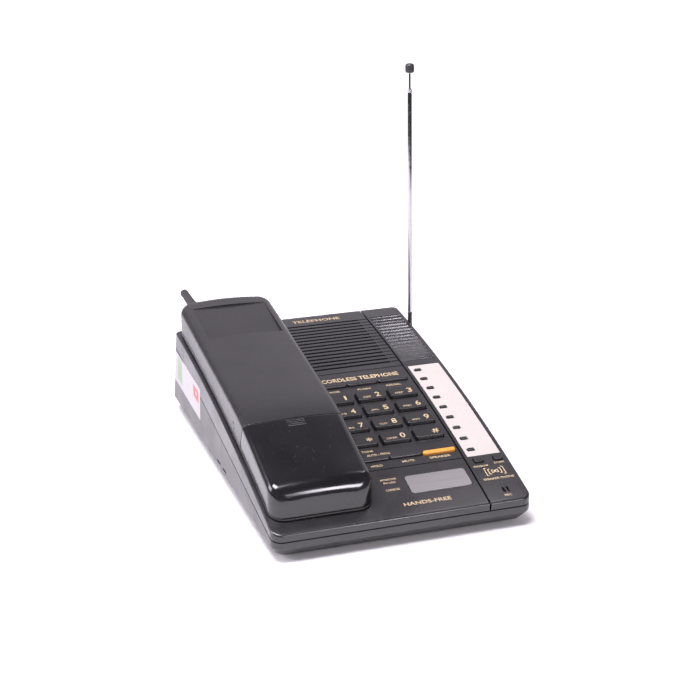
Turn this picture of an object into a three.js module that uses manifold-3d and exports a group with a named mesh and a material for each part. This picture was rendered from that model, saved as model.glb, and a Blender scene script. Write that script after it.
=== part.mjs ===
// Cordless telephone: a wedge-shaped desk base with a folding telescopic aerial, and a handset
// that lies face down in the cradle on the left. Millimetres, +Z up, +Y to the back, +X right.
import * as THREE from "three";
import { mergeVertices } from "three/addons/utils/BufferGeometryUtils.js";
import Module from "manifold-3d";

const wasm = await Module();
wasm.setup();

// ---------------------------------------------------------------- driving dimensions

const GAP = 0.3; // between pieces that touch

const base = {
  width: 158,
  depth: 231,
  wall: 2.5,
  cornerRadius: 6.5,
  backCornerRadius: 4,
  backLean: 0.26, // how far the back wall runs out for each millimetre down
  frontHeight: 15.7,
  rise: 67.5, // height gained from front to back if the top kept its front slope
  sag: 25.4, // what the curve of the top takes off that rise at the back
  floor: 1.1, // underside of the lower case
  foldHeight: 7, // where the walls turn in to the underside
  foldInset: 4.2,
  partingFront: 10.8,
  partingRise: 35.2,
  seamX: 52.2, // joint between the main top and the right-hand panel
};

const handset = {
  left: -76.8,
  right: -14.8,
  front: -105.8,
  back: 113,
  bend: -39, // where the battery end turns down from the straight ear end
  bendHeight: 58.6, // ridge height at the bend
  earSlope: 0.13,
  mouthSlope: 0.315,
  lift: 0.6, // clearance over the top of the base
  parting: 3.6, // height of the case joint over the top of the base
  coverSlope: 0.275, // slope of the case joint under the battery cover
  wall: 2,
  shoulder: 5,
  crown: 1.1, // how much the back falls from its ridge to its shoulders
  cornerRadius: 9,
  frontRounding: 8,
  backRounding: 3,
  coverEnd: -42,
  seam: -23.3, // the joint between back case and cover is where y + seamLean * height equals this
  seamLean: 0.44,
};

const keypad = {
  columns: 3,
  rows: 4,
  rightEdge: 5.7,
  columnPitch: 21.3,
  frontEdge: -7.8,
  rowPitch: -15,
  width: 17.9,
  depth: 9.6,
  rise: 2.5,
};

const keyTravel = 1.2;
const keyClearance = 0.45;
const keyFlange = 0.8; // how far the retaining flange stands out round a key
const keyRoot = -4; // underside of a key, measured from the top of the case
const flangeTop = -3.2;

// Two rows of long thin keys, above and below the keypad.
const bars = {
  x: -2.2,
  pitch: 20.7,
  width: 20.1,
  upper: { y: 13.4, depth: 2.8, rise: 1.6 },
  lower: { y: -65.4, depth: 2.6, rise: 1.4 },
};
const speakerKey = { x: 39.6, y: -65.9, width: 20.8, depth: 3.2, rise: 1.8 };
const smallKeys = { x: 59.8, pitch: 12.6, y: -78.6, width: 5.4, depth: 4, rise: 1 };
const memoryKeys = { count: 9, x: 59.4, first: 21.7, pitch: -11.2, width: 4.2, depth: 2, rise: 0.8 };
const card = { left: 54.8, right: 76, front: -73.6, back: 28, top: -0.1, thickness: 0.5, recess: 0.9 };
const plate = { left: 10.5, right: 48.4, front: -97.8, back: -82.8, radius: 2, recess: 0.7, rise: 0.3 };
const grille = { count: 15, left: -10, right: 46, first: 36.6, pitch: 4.51, width: 1.9 };
const cradle = { left: -70, right: -21.6, wall: 2, clearance: 1.3 };
const trough = { front: -97, back: 101, depth: 2.6 };
const mouthWell = { front: -97, back: -69, depth: 7.5 };
const earWell = { front: 58, back: 101, depth: 7.5 };
const lumpDepth = 5.2; // how far the mouth and ear ends reach below the top of the base

const aerial = {
  x: 80.6,
  y: 92,
  pivotHeight: 48,
  lean: THREE.MathUtils.degToRad(2.2), // the raised mast leans back a little
  footRadius: 3.5,
  footThickness: 2.6,
  bossRadius: 4,
  bossInside: 74,
  stemRadius: 1.5,
  stemTop: 13, // measured up the mast from the pivot, as are the next four
  outerTop: 166,
  middleTop: 166.6,
  rodTop: 176.6,
  tipTop: 183,
  outerRadius: 1.4,
  middleRadius: 0.95,
  rodRadius: 0.6,
  tipRadius: 2.9,
};

// Every height here is measured from a level just under the case, which the feet reach below.
const feet = {
  radius: 7,
  bottom: -2,
  places: [
    ["foot_front_left", -58, -92],
    ["foot_front_right", 58, -92],
    ["foot_back_left", -58, 106],
    ["foot_back_right", 58, 106],
  ],
};

// The handset's short rubber-covered antenna.
const stub = { x: -65.4, height: 73.4, slope: 0.03, radius: 3, length: 32, collarRadius: 3.8, collarLength: 3 };

// ---------------------------------------------------------------- materials

function material(color, roughness, metalness = 0) {
  return new THREE.MeshStandardMaterial({ color, roughness, metalness });
}

const charcoal = material(0x47454a, 0.5);
const satinBlack = material(0x3a393d, 0.45);
const glossBlack = material(0x17171a, 0.15);
const keyBlack = material(0x2c2b2f, 0.5);
const orangePlastic = material(0xf0a437, 0.4);
const cardWhite = material(0xf2efee, 0.8);
const silver = material(0xa8a8a8, 0.4, 0.6);
const chrome = material(0xd8d8da, 0.1, 1);
const rubber = material(0x1a1a1a, 0.9);
const brass = material(0xc9b070, 0.3, 1);
const boardGreen = material(0x2f6b3c, 0.6);
const cellBlue = material(0x3b5a8c, 0.5);

// ---------------------------------------------------------------- solids

function solidOf(geometry) {
  const bare = geometry.clone();
  bare.deleteAttribute("normal");
  bare.deleteAttribute("uv");
  const merged = mergeVertices(bare, 1e-4);
  return new wasm.Manifold(
    new wasm.Mesh({
      numProp: 3,
      vertProperties: new Float32Array(merged.attributes.position.array),
      triVerts: new Uint32Array(merged.index.array),
    }),
  );
}

function geometryOf(solid) {
  const mesh = solid.getMesh();
  const geometry = new THREE.BufferGeometry();
  geometry.setAttribute("position", new THREE.BufferAttribute(new Float32Array(mesh.vertProperties), 3));
  geometry.setIndex(new THREE.BufferAttribute(new Uint32Array(mesh.triVerts), 1));
  return geometry;
}

// A rectangle with round corners, seen from above.
function roundedRect(left, right, front, back, radius) {
  const shape = new THREE.Shape();
  shape.moveTo(left + radius, front);
  shape.lineTo(right - radius, front);
  shape.absarc(right - radius, front + radius, radius, -Math.PI / 2, 0);
  shape.lineTo(right, back - radius);
  shape.absarc(right - radius, back - radius, radius, 0, Math.PI / 2);
  shape.lineTo(left + radius, back);
  shape.absarc(left + radius, back - radius, radius, Math.PI / 2, Math.PI);
  shape.lineTo(left, front + radius);
  shape.absarc(left + radius, front + radius, radius, Math.PI, Math.PI * 1.5);
  return shape;
}

function prism(shape, bottom, top, curveSegments = 4) {
  const geometry = new THREE.ExtrudeGeometry(shape, { depth: top - bottom, bevelEnabled: false, curveSegments });
  geometry.translate(0, 0, bottom);
  return geometry;
}

function box(left, right, front, back, bottom, top) {
  const geometry = new THREE.BoxGeometry(right - left, back - front, top - bottom);
  geometry.translate((left + right) / 2, (front + back) / 2, (bottom + top) / 2);
  return geometry;
}

// A solid from left to right whose side view lies between two height curves over front..back.
function slab(left, right, front, back, lower, upper, steps = 12) {
  const points = [];
  for (let i = 0; i <= steps; i += 1) {
    const y = THREE.MathUtils.lerp(front, back, i / steps);
    points.push(new THREE.Vector2(y, lower(y)));
  }
  for (let i = steps; i >= 0; i -= 1) {
    const y = THREE.MathUtils.lerp(front, back, i / steps);
    points.push(new THREE.Vector2(y, upper(y)));
  }
  const side = new THREE.ExtrudeGeometry(new THREE.Shape(points), { depth: right - left, bevelEnabled: false });
  const sideToWorld = new THREE.Matrix4().makeBasis(
    new THREE.Vector3(0, 1, 0),
    new THREE.Vector3(0, 0, 1),
    new THREE.Vector3(1, 0, 0),
  );
  side.applyMatrix4(sideToWorld);
  side.translate(left, 0, 0);
  return side;
}

// A closed skin over a row of rings that all have the same number of points, with flat ends.
function loft(rings) {
  const positions = rings.flat().flatMap((point) => [point.x, point.y, point.z]);
  const count = rings[0].length;
  const index = [];
  for (let ring = 0; ring + 1 < rings.length; ring += 1) {
    for (let i = 0; i < count; i += 1) {
      const a = ring * count + i;
      const b = ring * count + ((i + 1) % count);
      index.push(a, b, b + count, a, b + count, a + count);
    }
  }
  const last = (rings.length - 1) * count;
  for (let i = 1; i + 1 < count; i += 1) {
    index.push(0, i + 1, i, last, last + i, last + i + 1);
  }
  const geometry = new THREE.BufferGeometry();
  geometry.setAttribute("position", new THREE.Float32BufferAttribute(positions, 3));
  geometry.setIndex(index);
  return geometry;
}

function union(first, ...others) {
  return others.reduce((sum, other) => sum.add(other), first);
}

function cut(first, ...others) {
  return others.reduce((rest, other) => rest.subtract(other), first);
}

function named(name, geometry, look) {
  const mesh = new THREE.Mesh(geometry, look);
  mesh.name = name;
  return mesh;
}

// ---------------------------------------------------------------- curves of the base

const frontY = -base.depth / 2;
const backY = base.depth / 2;
const halfWidth = base.width / 2;

function along(y) {
  return (y - frontY) / base.depth;
}

function topHeight(y) {
  const t = along(y);
  return base.frontHeight + base.rise * t - base.sag * t * t;
}

function topSlope(y) {
  return (base.rise - 2 * base.sag * along(y)) / base.depth;
}

function partingHeight(y) {
  return base.partingFront + base.partingRise * along(y);
}

// The curve of the top, raised or lowered by an offset.
function topPlus(offset) {
  return (y) => topHeight(y) + offset;
}

// Where the outside of the back wall is at a height: it leans, so the base is deeper at its foot.
function backWall(height) {
  return backY + base.backLean * (topHeight(backY) - height);
}

// The outline of the base at one height, as a ring of points inset from the outer walls.
function baseRing(inset, height, frontRadius, backRadius) {
  const right = halfWidth - inset;
  const front = frontY + inset;
  const back = backWall(height) - inset;
  const corners = [
    [right - frontRadius, front + frontRadius, frontRadius, -90],
    [right - backRadius, back - backRadius, backRadius, 0],
    [-right + backRadius, back - backRadius, backRadius, 90],
    [-right + frontRadius, front + frontRadius, frontRadius, 180],
  ];
  const steps = 4;
  const ring = [];
  for (const [x, y, radius, start] of corners) {
    for (let i = 0; i <= steps; i += 1) {
      const angle = THREE.MathUtils.degToRad(start + (90 * i) / steps);
      ring.push(new THREE.Vector3(x + radius * Math.cos(angle), y + radius * Math.sin(angle), height));
    }
  }
  return ring;
}

// Everything inside the base's walls, taller than the base itself.
function wallBlock(inset) {
  const frontRadius = Math.max(base.cornerRadius - inset, 1);
  const backRadius = Math.max(base.backCornerRadius - inset, 1);
  return solidOf(loft([-10, 90].map((height) => baseRing(inset, height, frontRadius, backRadius))));
}

// A group that stands on the top of the base, its own +Z along the outward normal there.
function standOnTop(x, y) {
  const group = new THREE.Group();
  group.position.set(x, y, topHeight(y));
  group.rotation.x = Math.atan(topSlope(y));
  group.updateMatrix();
  return group;
}

// ---------------------------------------------------------------- keys of the base

function keyList() {
  const keys = [];
  const faces = ["1", "2", "3", "4", "5", "6", "7", "8", "9", "star", "0", "hash"];
  for (let row = 0; row < keypad.rows; row += 1) {
    for (let column = 0; column < keypad.columns; column += 1) {
      keys.push({
        name: `dial_key_${faces[row * keypad.columns + column]}`,
        x: keypad.rightEdge + column * keypad.columnPitch - keypad.width / 2,
        y: keypad.frontEdge + row * keypad.rowPitch + keypad.depth / 2,
        width: keypad.width,
        depth: keypad.depth,
        rise: keypad.rise,
        look: keyBlack,
      });
    }
  }
  ["pause_key", "flash_key", "redial_key"].forEach((name, i) => {
    keys.push({ ...bars.upper, name, x: bars.x + i * bars.pitch, width: bars.width, look: keyBlack });
  });
  ["hold_key", "mute_key"].forEach((name, i) => {
    keys.push({ ...bars.lower, name, x: bars.x + i * bars.pitch, width: bars.width, look: keyBlack });
  });
  keys.push({ ...speakerKey, name: "speaker_phone_key", look: orangePlastic });
  for (let i = 0; i < memoryKeys.count; i += 1) {
    const { x, first, pitch, width, depth, rise } = memoryKeys;
    keys.push({ name: `memory_key_${i + 1}`, x, y: first + i * pitch, width, depth, rise, look: keyBlack });
  }
  ["program_key", "store_key"].forEach((name, i) => {
    const { x, pitch, y, width, depth, rise } = smallKeys;
    keys.push({ name, x: x + i * pitch, y, width, depth, rise, look: keyBlack });
  });
  return keys;
}

function centredRect(width, depth, radius) {
  return roundedRect(-width / 2, width / 2, -depth / 2, depth / 2, radius);
}

// A key stands through the case and is kept in by a flange round its root.
function keyGeometry(key) {
  const stem = prism(centredRect(key.width, key.depth, 0.7), keyRoot, key.rise, 1);
  const flange = prism(
    centredRect(key.width + 2 * keyFlange * key.flangeShare, key.depth + 2 * keyFlange, 0.7),
    keyRoot,
    flangeTop,
    1,
  );
  return geometryOf(union(solidOf(stem), solidOf(flange)));
}

function keyHole(key) {
  const width = key.width + 2 * keyClearance * key.flangeShare;
  const hole = prism(centredRect(width, key.depth + 2 * keyClearance, 0.8), flangeTop - 0.2, 6, 1);
  hole.applyMatrix4(standOnTop(key.x, key.y).matrix);
  return solidOf(hole);
}

const keys = keyList();
for (const key of keys) {
  // The long thin keys sit end to end, so they have next to no flange or gap at their ends.
  key.flangeShare = key.width > keypad.width + 1 ? 0.3 : 1;
}

// ---------------------------------------------------------------- base cases

function baseBlock(inset, lower, upper) {
  return wallBlock(inset).intersect(solidOf(slab(-90, 90, frontY - 5, backY + 25, lower, upper, 14)));
}

function upperShell() {
  const outer = baseBlock(0, (y) => partingHeight(y) + GAP, topHeight);
  const inner = baseBlock(base.wall, (y) => partingHeight(y) - 5, topPlus(-base.wall));
  return cut(outer, inner);
}

function sideOfSeam(shell, left, right) {
  return shell.intersect(solidOf(box(left, right, -200, 200, -10, 100)));
}

// A pocket sunk in the top: the tray that forms it, and the hollow inside it.
function pocket(size) {
  const { front, back, depth } = size;
  const { left, right, wall } = cradle;
  const tray = slab(left - wall, right + wall, front - wall, back + wall, topPlus(-depth - wall), topPlus(-0.5));
  const hollow = slab(left, right, front, back, topPlus(-depth), topPlus(5));
  return { tray: solidOf(tray), hollow: solidOf(hollow) };
}

function baseUpperCase() {
  let shell = sideOfSeam(upperShell(), -200, base.seamX - GAP / 2);
  const pockets = [trough, mouthWell, earWell].map(pocket);
  const within = wallBlock(1);
  shell = union(shell, ...pockets.map((each) => each.tray.intersect(within)));
  shell = cut(shell, ...pockets.map((each) => each.hollow));
  for (const key of keys) {
    if (key.x < base.seamX) {
      shell = cut(shell, keyHole(key));
    }
  }
  for (let i = 0; i < grille.count; i += 1) {
    const y = grille.first + i * grille.pitch;
    const slot = box(grille.left, grille.right, y - grille.width / 2, y + grille.width / 2, 20, 90);
    shell = cut(shell, solidOf(slot));
  }
  const plateBed = prism(
    roundedRect(plate.left - GAP, plate.right + GAP, plate.front - GAP, plate.back + GAP, plate.radius + GAP),
    0,
    60,
  );
  const plateDepth = slab(0, 60, plate.front - 2, plate.back + 2, topPlus(-plate.recess), topPlus(5), 4);
  return cut(shell, solidOf(plateBed).intersect(solidOf(plateDepth)));
}

const micSlots = { x: 64.6, pitch: 2.6, y: -105.6, width: 1.4, length: 4.4 };

function memoryPanel() {
  let shell = sideOfSeam(upperShell(), base.seamX + GAP / 2, 200);
  const bed = slab(
    card.left - GAP,
    card.right + GAP,
    card.front - GAP,
    card.back + GAP,
    topPlus(-card.recess),
    topPlus(5),
  );
  shell = cut(shell, solidOf(bed));
  for (const key of keys) {
    if (key.x > base.seamX) {
      shell = cut(shell, keyHole(key));
    }
  }
  for (let i = 0; i < 2; i += 1) {
    const x = micSlots.x + i * micSlots.pitch;
    const { y, width, length } = micSlots;
    shell = cut(shell, solidOf(box(x - width / 2, x + width / 2, y - length / 2, y + length / 2, 5, 30)));
  }
  const bossHole = sideways(aerial.bossRadius + 0.4, 12);
  bossHole.translate(halfWidth, aerial.y, aerial.pivotHeight);
  return cut(shell, solidOf(bossHole));
}

function indexCard() {
  const { left, right, front, back, top, thickness } = card;
  let sheet = solidOf(slab(left, right, front, back, topPlus(top - thickness), topPlus(top)));
  for (const key of keys) {
    if (key.x > base.seamX && key.y > front) {
      sheet = cut(sheet, keyHole(key));
    }
  }
  return sheet;
}

function namePlate() {
  const rim = prism(roundedRect(plate.left, plate.right, plate.front, plate.back, plate.radius), 0, 60);
  const bottom = topPlus(-plate.recess + GAP);
  const body = slab(0, 60, plate.front - 1, plate.back + 1, bottom, topPlus(plate.rise), 4);
  return solidOf(rim).intersect(solidOf(body));
}

// The lower case's inside or outside: the sloping edge of the underside, then the walls.
function tub(inset, floor, fold, wallTop) {
  const levels = [
    [floor, base.foldInset + inset],
    [fold, inset],
    [wallTop, inset],
  ];
  const rings = levels.map(([height, ringInset]) => {
    return baseRing(ringInset, height, base.cornerRadius, base.backCornerRadius);
  });
  return solidOf(loft(rings));
}

const lineJack = { x: -30, width: 15, depth: 16, height: 13, bottom: 14 };
const powerJack = { x: 22, width: 10, depth: 13, height: 11, bottom: 15 };

function baseLowerCase() {
  const outer = tub(0, base.floor, base.foldHeight, 80);
  const inner = tub(base.wall, base.floor + base.wall, base.foldHeight + 1.5, 90);
  const below = solidOf(slab(-90, 90, frontY - 5, backY + 25, () => -10, partingHeight, 2));
  let shell = cut(outer, inner).intersect(below);
  for (const jack of [lineJack, powerJack]) {
    const { x, width, height, bottom } = jack;
    const window = box(
      x - width / 2 - GAP,
      x + width / 2 + GAP,
      backY,
      backY + 25,
      bottom - GAP,
      bottom + height + GAP,
    );
    shell = cut(shell, solidOf(window));
  }
  return shell;
}

// ---------------------------------------------------------------- parts inside the base

function lineJackBody() {
  const { x, width, depth, height, bottom } = lineJack;
  const face = backWall(bottom + height) - GAP;
  const block = box(x - width / 2, x + width / 2, face - depth, face, bottom, bottom + height);
  const socket = box(x - 5, x + 5, face - 12, face + 1, bottom + 2.6, bottom + 9.6);
  const latch = box(x - 2, x + 2, face - 12, face + 1, bottom + 9, bottom + 11.4);
  return cut(solidOf(block), solidOf(socket), solidOf(latch));
}

function powerJackBody() {
  const { x, width, depth, height, bottom } = powerJack;
  const face = backWall(bottom + height) - GAP;
  const block = box(x - width / 2, x + width / 2, face - depth, face, bottom, bottom + height);
  const mouth = new THREE.CylinderGeometry(3.2, 3.2, 10, 16);
  mouth.translate(x, face - 4.7, bottom + height / 2);
  const pin = new THREE.CylinderGeometry(1, 1, 9, 8);
  pin.translate(x, face - 6.3, bottom + height / 2);
  return union(cut(solidOf(block), solidOf(mouth)), solidOf(pin));
}

// The loudspeaker hangs under the grille: a flat frame over a stepped magnet, on its own axis.
function loudspeaker() {
  const profile = [
    [0, -19],
    [13, -19],
    [13, -12],
    [21, -5],
    [26, -4],
    [26, -2],
    [0, -2],
  ];
  const points = profile.map(([radius, height]) => new THREE.Vector2(radius, height));
  const geometry = new THREE.LatheGeometry(points, 20);
  geometry.rotateX(Math.PI / 2);
  geometry.translate(0, 0, -base.wall - 0.4);
  return geometry;
}

// The rubber sheet under the keys' roots.
const mat = { left: -13.5, right: 75, front: -82, back: 24, bottom: -7.2, top: -6 };

function keyMat() {
  return slab(mat.left, mat.right, mat.front, mat.back, topPlus(mat.bottom), topPlus(mat.top), 8);
}

const contacts = { left: -53, right: -39, width: 4, front: -94, back: -86, thickness: 1.4 };

// A charging contact lies on the floor of the mouth well.
function chargeContact(x) {
  const { width, front, back, thickness } = contacts;
  const bottom = GAP - mouthWell.depth;
  return slab(x - width / 2, x + width / 2, front, back, topPlus(bottom), topPlus(bottom + thickness), 2);
}

const baseBoard = { left: -72, right: 72, front: -100, back: 50, bottom: 9, top: 10.6 };
const capsule = { x: 65.9, y: -105.5, radius: 4, bottom: 10.2, top: 14.4 };

// ---------------------------------------------------------------- handset

function ridge(y) {
  const { bend, bendHeight, earSlope, mouthSlope } = handset;
  const softness = 10; // length over which the bend is spread
  const u = y - bend;
  const mean = (earSlope + mouthSlope) / 2;
  const half = (earSlope - mouthSlope) / 2;
  return bendHeight + mean * u + half * (Math.hypot(u, softness) - softness);
}

// The ridge with both ends rounded over.
function ridgeWithEnds(y) {
  const { front, back, frontRounding, backRounding } = handset;
  const fromFront = Math.min(Math.max(1 - (y - front) / frontRounding, 0), 1);
  const fromBack = Math.min(Math.max(1 - (back - y) / backRounding, 0), 1);
  const frontDrop = frontRounding * (1 - Math.sqrt(1 - fromFront * fromFront));
  const backDrop = backRounding * (1 - Math.sqrt(1 - fromBack * fromBack));
  return ridge(y) - frontDrop - backDrop;
}

// One cross-section at y, as a ring: flat bottom, upright sides, round shoulders.
function handsetRing(y, inset, drop) {
  const left = handset.left + inset;
  const right = handset.right - inset;
  const radius = Math.max(handset.shoulder - inset, 1.5);
  const top = ridgeWithEnds(y) - drop;
  const shoulderTop = top - handset.crown;
  const bottom = 0;
  const points = [new THREE.Vector3(left, y, bottom), new THREE.Vector3(right, y, bottom)];
  const arcSteps = 4;
  for (let i = 0; i <= arcSteps; i += 1) {
    const angle = (i / arcSteps) * (Math.PI / 2);
    const x = right - radius + radius * Math.cos(angle);
    points.push(new THREE.Vector3(x, y, shoulderTop - radius + radius * Math.sin(angle)));
  }
  points.push(new THREE.Vector3((left + right) / 2, y, top));
  for (let i = arcSteps; i >= 0; i -= 1) {
    const angle = (i / arcSteps) * (Math.PI / 2);
    const x = left + radius - radius * Math.cos(angle);
    points.push(new THREE.Vector3(x, y, shoulderTop - radius + radius * Math.sin(angle)));
  }
  return points.reverse();
}

function handsetBlock(inset) {
  const { front, back, frontRounding, backRounding, bend } = handset;
  const stations = [front, front + 0.6, front + 2.4, front + 5, front + frontRounding];
  stations.push(front + 25, bend - 16, bend - 6, bend + 4, bend + 16, 20, 70);
  stations.push(back - backRounding, back - 0.9, back);
  const rings = stations.map((y) => {
    const clamped = THREE.MathUtils.clamp(y, front + inset, back - inset);
    const ring = handsetRing(y, inset, inset);
    return ring.map((point) => new THREE.Vector3(point.x, clamped === y ? y : clamped + (y - clamped) * 0.01, point.z));
  });
  const radius = handset.cornerRadius - inset;
  const rim = roundedRect(handset.left + inset, handset.right - inset, front + inset, back - inset, radius);
  return solidOf(loft(rings)).intersect(solidOf(prism(rim, -5, 120, 5)));
}

function handsetParting(y) {
  const { coverEnd, coverSlope, parting } = handset;
  if (y > coverEnd) {
    return topHeight(y) + parting;
  }
  return topHeight(coverEnd) + parting + coverSlope * (y - coverEnd);
}

function handsetRegion(front, back, lower, upper) {
  const steps = 14;
  return solidOf(slab(handset.left - 5, handset.right + 5, front, back, lower, upper, steps));
}

const recess = { left: -69.6, right: -20.6, front: 58, back: 101.2, frontDepth: 3, backDepth: 1.2 };

function recessFloor(y) {
  const t = (y - recess.front) / (recess.back - recess.front);
  return ridge(y) - THREE.MathUtils.lerp(recess.frontDepth, recess.backDepth, t);
}

// What lies behind the seam between back case and cover, or with side -1 what lies before it.
function behindSeam(solid, side) {
  const { seam, seamLean } = handset;
  const length = Math.hypot(1, seamLean);
  return solid.trimByPlane([0, side / length, (side * seamLean) / length], (side * seam) / length + GAP / 2);
}

function handsetBackCase() {
  const shell = cut(handsetBlock(0), handsetBlock(handset.wall));
  const over = (y) => handsetParting(y) + GAP / 2;
  const region = behindSeam(handsetRegion(handset.front - 5, handset.back + 5, over, () => 120), 1);
  const { left, right, front, back } = recess;
  const hollow = slab(left, right, front, back, recessFloor, () => 120, 2);
  const floor = slab(left - 1.5, right + 1.5, front - 1.5, back + 1.5, (y) => recessFloor(y) - 1.6, ridge, 2);
  const thickened = union(shell, solidOf(floor).intersect(handsetBlock(1)));
  return cut(thickened.intersect(region), solidOf(hollow));
}

function batteryCover() {
  const shell = cut(handsetBlock(0), handsetBlock(handset.wall));
  const over = (y) => handsetParting(y) + GAP / 2;
  return shell.intersect(behindSeam(handsetRegion(handset.front - 5, 0, over, () => 120), -1));
}

// The lump at the mouth or ear end, which drops into its well in the cradle.
function lump(well, inset, lower, upper) {
  const { left, right, clearance } = cradle;
  const reach = clearance + inset;
  return solidOf(slab(left + reach, right - reach, well.front + reach, well.back - reach, lower, upper, 6));
}

function handsetFrontCase() {
  const { front, back, wall, lift } = handset;
  const rim = solidOf(prism(roundedRect(handset.left, handset.right, front, back, handset.cornerRadius), 0, 90, 5));
  const inset = roundedRect(
    handset.left + wall,
    handset.right - wall,
    front + wall,
    back - wall,
    handset.cornerRadius - wall,
  );
  const under = (y) => handsetParting(y) - GAP / 2;
  let tray = rim.intersect(handsetRegion(front - 5, back + 5, topPlus(lift), under));
  const ends = [mouthWell, earWell];
  tray = union(tray, ...ends.map((well) => lump(well, 0, topPlus(-lumpDepth), topPlus(lift + 1))));
  const room = solidOf(prism(inset, 0, 90, 5)).intersect(
    handsetRegion(front - 5, back + 5, topPlus(lift + 1.6), topPlus(30)),
  );
  tray = cut(tray, room);
  tray = cut(tray, ...ends.map((well) => lump(well, wall, topPlus(-lumpDepth + wall), topPlus(lift + 3))));
  const keyWindow = slab(keyPad.left, keyPad.right, keyPad.front, keyPad.back, topPlus(-3), topPlus(10), 6);
  return cut(tray, solidOf(keyWindow));
}

const keyPad = { left: -65, right: -26.6, front: -58, back: 40 };

// The handset's keys are the raised part of one silicone sheet, seen in a window of the front case.
function handsetKeypad() {
  const { left, right, front, back } = keyPad;
  const { lift } = handset;
  const sheet = slab(left - 4, right + 4, front - 4, back + 4, topPlus(lift + 1.9), topPlus(lift + 3.1), 6);
  const block = slab(left + 1, right - 1, front + 1, back - 1, topPlus(lift + 0.4), topPlus(lift + 2.2), 6);
  return union(solidOf(sheet), solidOf(block));
}

const cells = { left: -70, right: -21.6, front: -93, back: -50, bottom: 1.2, top: 12.5 };

function batteryPack() {
  const { left, right, front, back, bottom, top } = cells;
  return slab(left, right, front, back, (y) => handsetParting(y) + bottom, (y) => handsetParting(y) + top, 2);
}

function straightRidge(y) {
  return handset.bendHeight + handset.earSlope * (y - handset.bend);
}

// The handset's board lies along its straight part, a fixed depth under the ridge.
const board = { left: -72, right: -19.6, front: -30, back: 98, depth: 11, thickness: 1.6 };

function handsetBoard() {
  const { left, right, front, back, depth, thickness } = board;
  return slab(left, right, front, back, (y) => straightRidge(y) - depth - thickness, (y) => straightRidge(y) - depth, 1);
}

const receiver = { x: -45.8, y: 79.5, radius: 13, bottom: -2.6, top: 3.4 };

function alongY(radius, length, segments = 16) {
  const geometry = new THREE.CylinderGeometry(radius, radius, length, segments);
  geometry.translate(0, length / 2, 0);
  return geometry;
}

function handsetAntenna() {
  const { radius, length, collarRadius, collarLength } = stub;
  const collar = alongY(collarRadius, collarLength);
  const rod = alongY(radius, length - radius);
  const tip = new THREE.SphereGeometry(radius, 16, 8);
  tip.translate(0, length - radius, 0);
  return geometryOf(union(solidOf(collar), solidOf(rod), solidOf(tip)));
}

// ---------------------------------------------------------------- aerial of the base

function upright(radius, bottom, top, segments = 12) {
  const geometry = new THREE.CylinderGeometry(radius, radius, top - bottom, segments);
  geometry.rotateX(Math.PI / 2);
  geometry.translate(0, 0, (bottom + top) / 2);
  return geometry;
}

function sideways(radius, thickness, segments = 20) {
  const geometry = new THREE.CylinderGeometry(radius, radius, thickness, segments);
  geometry.rotateZ(Math.PI / 2);
  return geometry;
}

function aerialFoot() {
  const disc = sideways(aerial.footRadius, aerial.footThickness);
  const stem = upright(aerial.stemRadius, 0, aerial.stemTop);
  return geometryOf(union(solidOf(disc), solidOf(stem)));
}

function pipe(outer, inner, bottom, top) {
  return geometryOf(cut(solidOf(upright(outer, bottom, top)), solidOf(upright(inner, bottom + 1, top + 1))));
}

// The boss that carries the aerial's hinge, from inside the case to the face of the foot.
function aerialBoss() {
  const outside = aerial.x - aerial.footThickness / 2 - GAP;
  const geometry = sideways(aerial.bossRadius, outside - aerial.bossInside);
  geometry.translate((aerial.bossInside + outside) / 2, aerial.y, aerial.pivotHeight);
  return geometry;
}

// ---------------------------------------------------------------- assembly

const phone = new THREE.Group();

phone.add(named("base_lower_case", geometryOf(baseLowerCase()), charcoal));
phone.add(named("base_upper_case", geometryOf(baseUpperCase()), charcoal));
phone.add(named("memory_panel", geometryOf(memoryPanel()), charcoal));
phone.add(named("index_card", geometryOf(indexCard()), cardWhite));
phone.add(named("name_plate", geometryOf(namePlate()), silver));
phone.add(named("line_jack", geometryOf(lineJackBody()), satinBlack));
phone.add(named("power_jack", geometryOf(powerJackBody()), satinBlack));
phone.add(named("key_mat", keyMat(), rubber));
phone.add(named("charge_contact_left", chargeContact(contacts.left), brass));
phone.add(named("charge_contact_right", chargeContact(contacts.right), brass));
const boardBlock = box(baseBoard.left, baseBoard.right, baseBoard.front, baseBoard.back, baseBoard.bottom, baseBoard.top);
phone.add(named("base_circuit_board", boardBlock, boardGreen));
phone.add(named("aerial_boss", aerialBoss(), satinBlack));

const speakerGroup = standOnTop((grille.left + grille.right) / 2, 68);
speakerGroup.add(named("loudspeaker", loudspeaker(), satinBlack));
phone.add(speakerGroup);

const microphone = named("base_microphone", upright(capsule.radius, capsule.bottom, capsule.top, 16), silver);
microphone.position.set(capsule.x, capsule.y, 0);
phone.add(microphone);

for (const [name, x, y] of feet.places) {
  const foot = named(name, upright(feet.radius, feet.bottom, base.floor - GAP, 20), rubber);
  foot.position.set(x, y, 0);
  phone.add(foot);
}

for (const key of keys) {
  const group = standOnTop(key.x, key.y);
  group.add(named(key.name, keyGeometry(key), key.look));
  phone.add(group);
}

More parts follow.
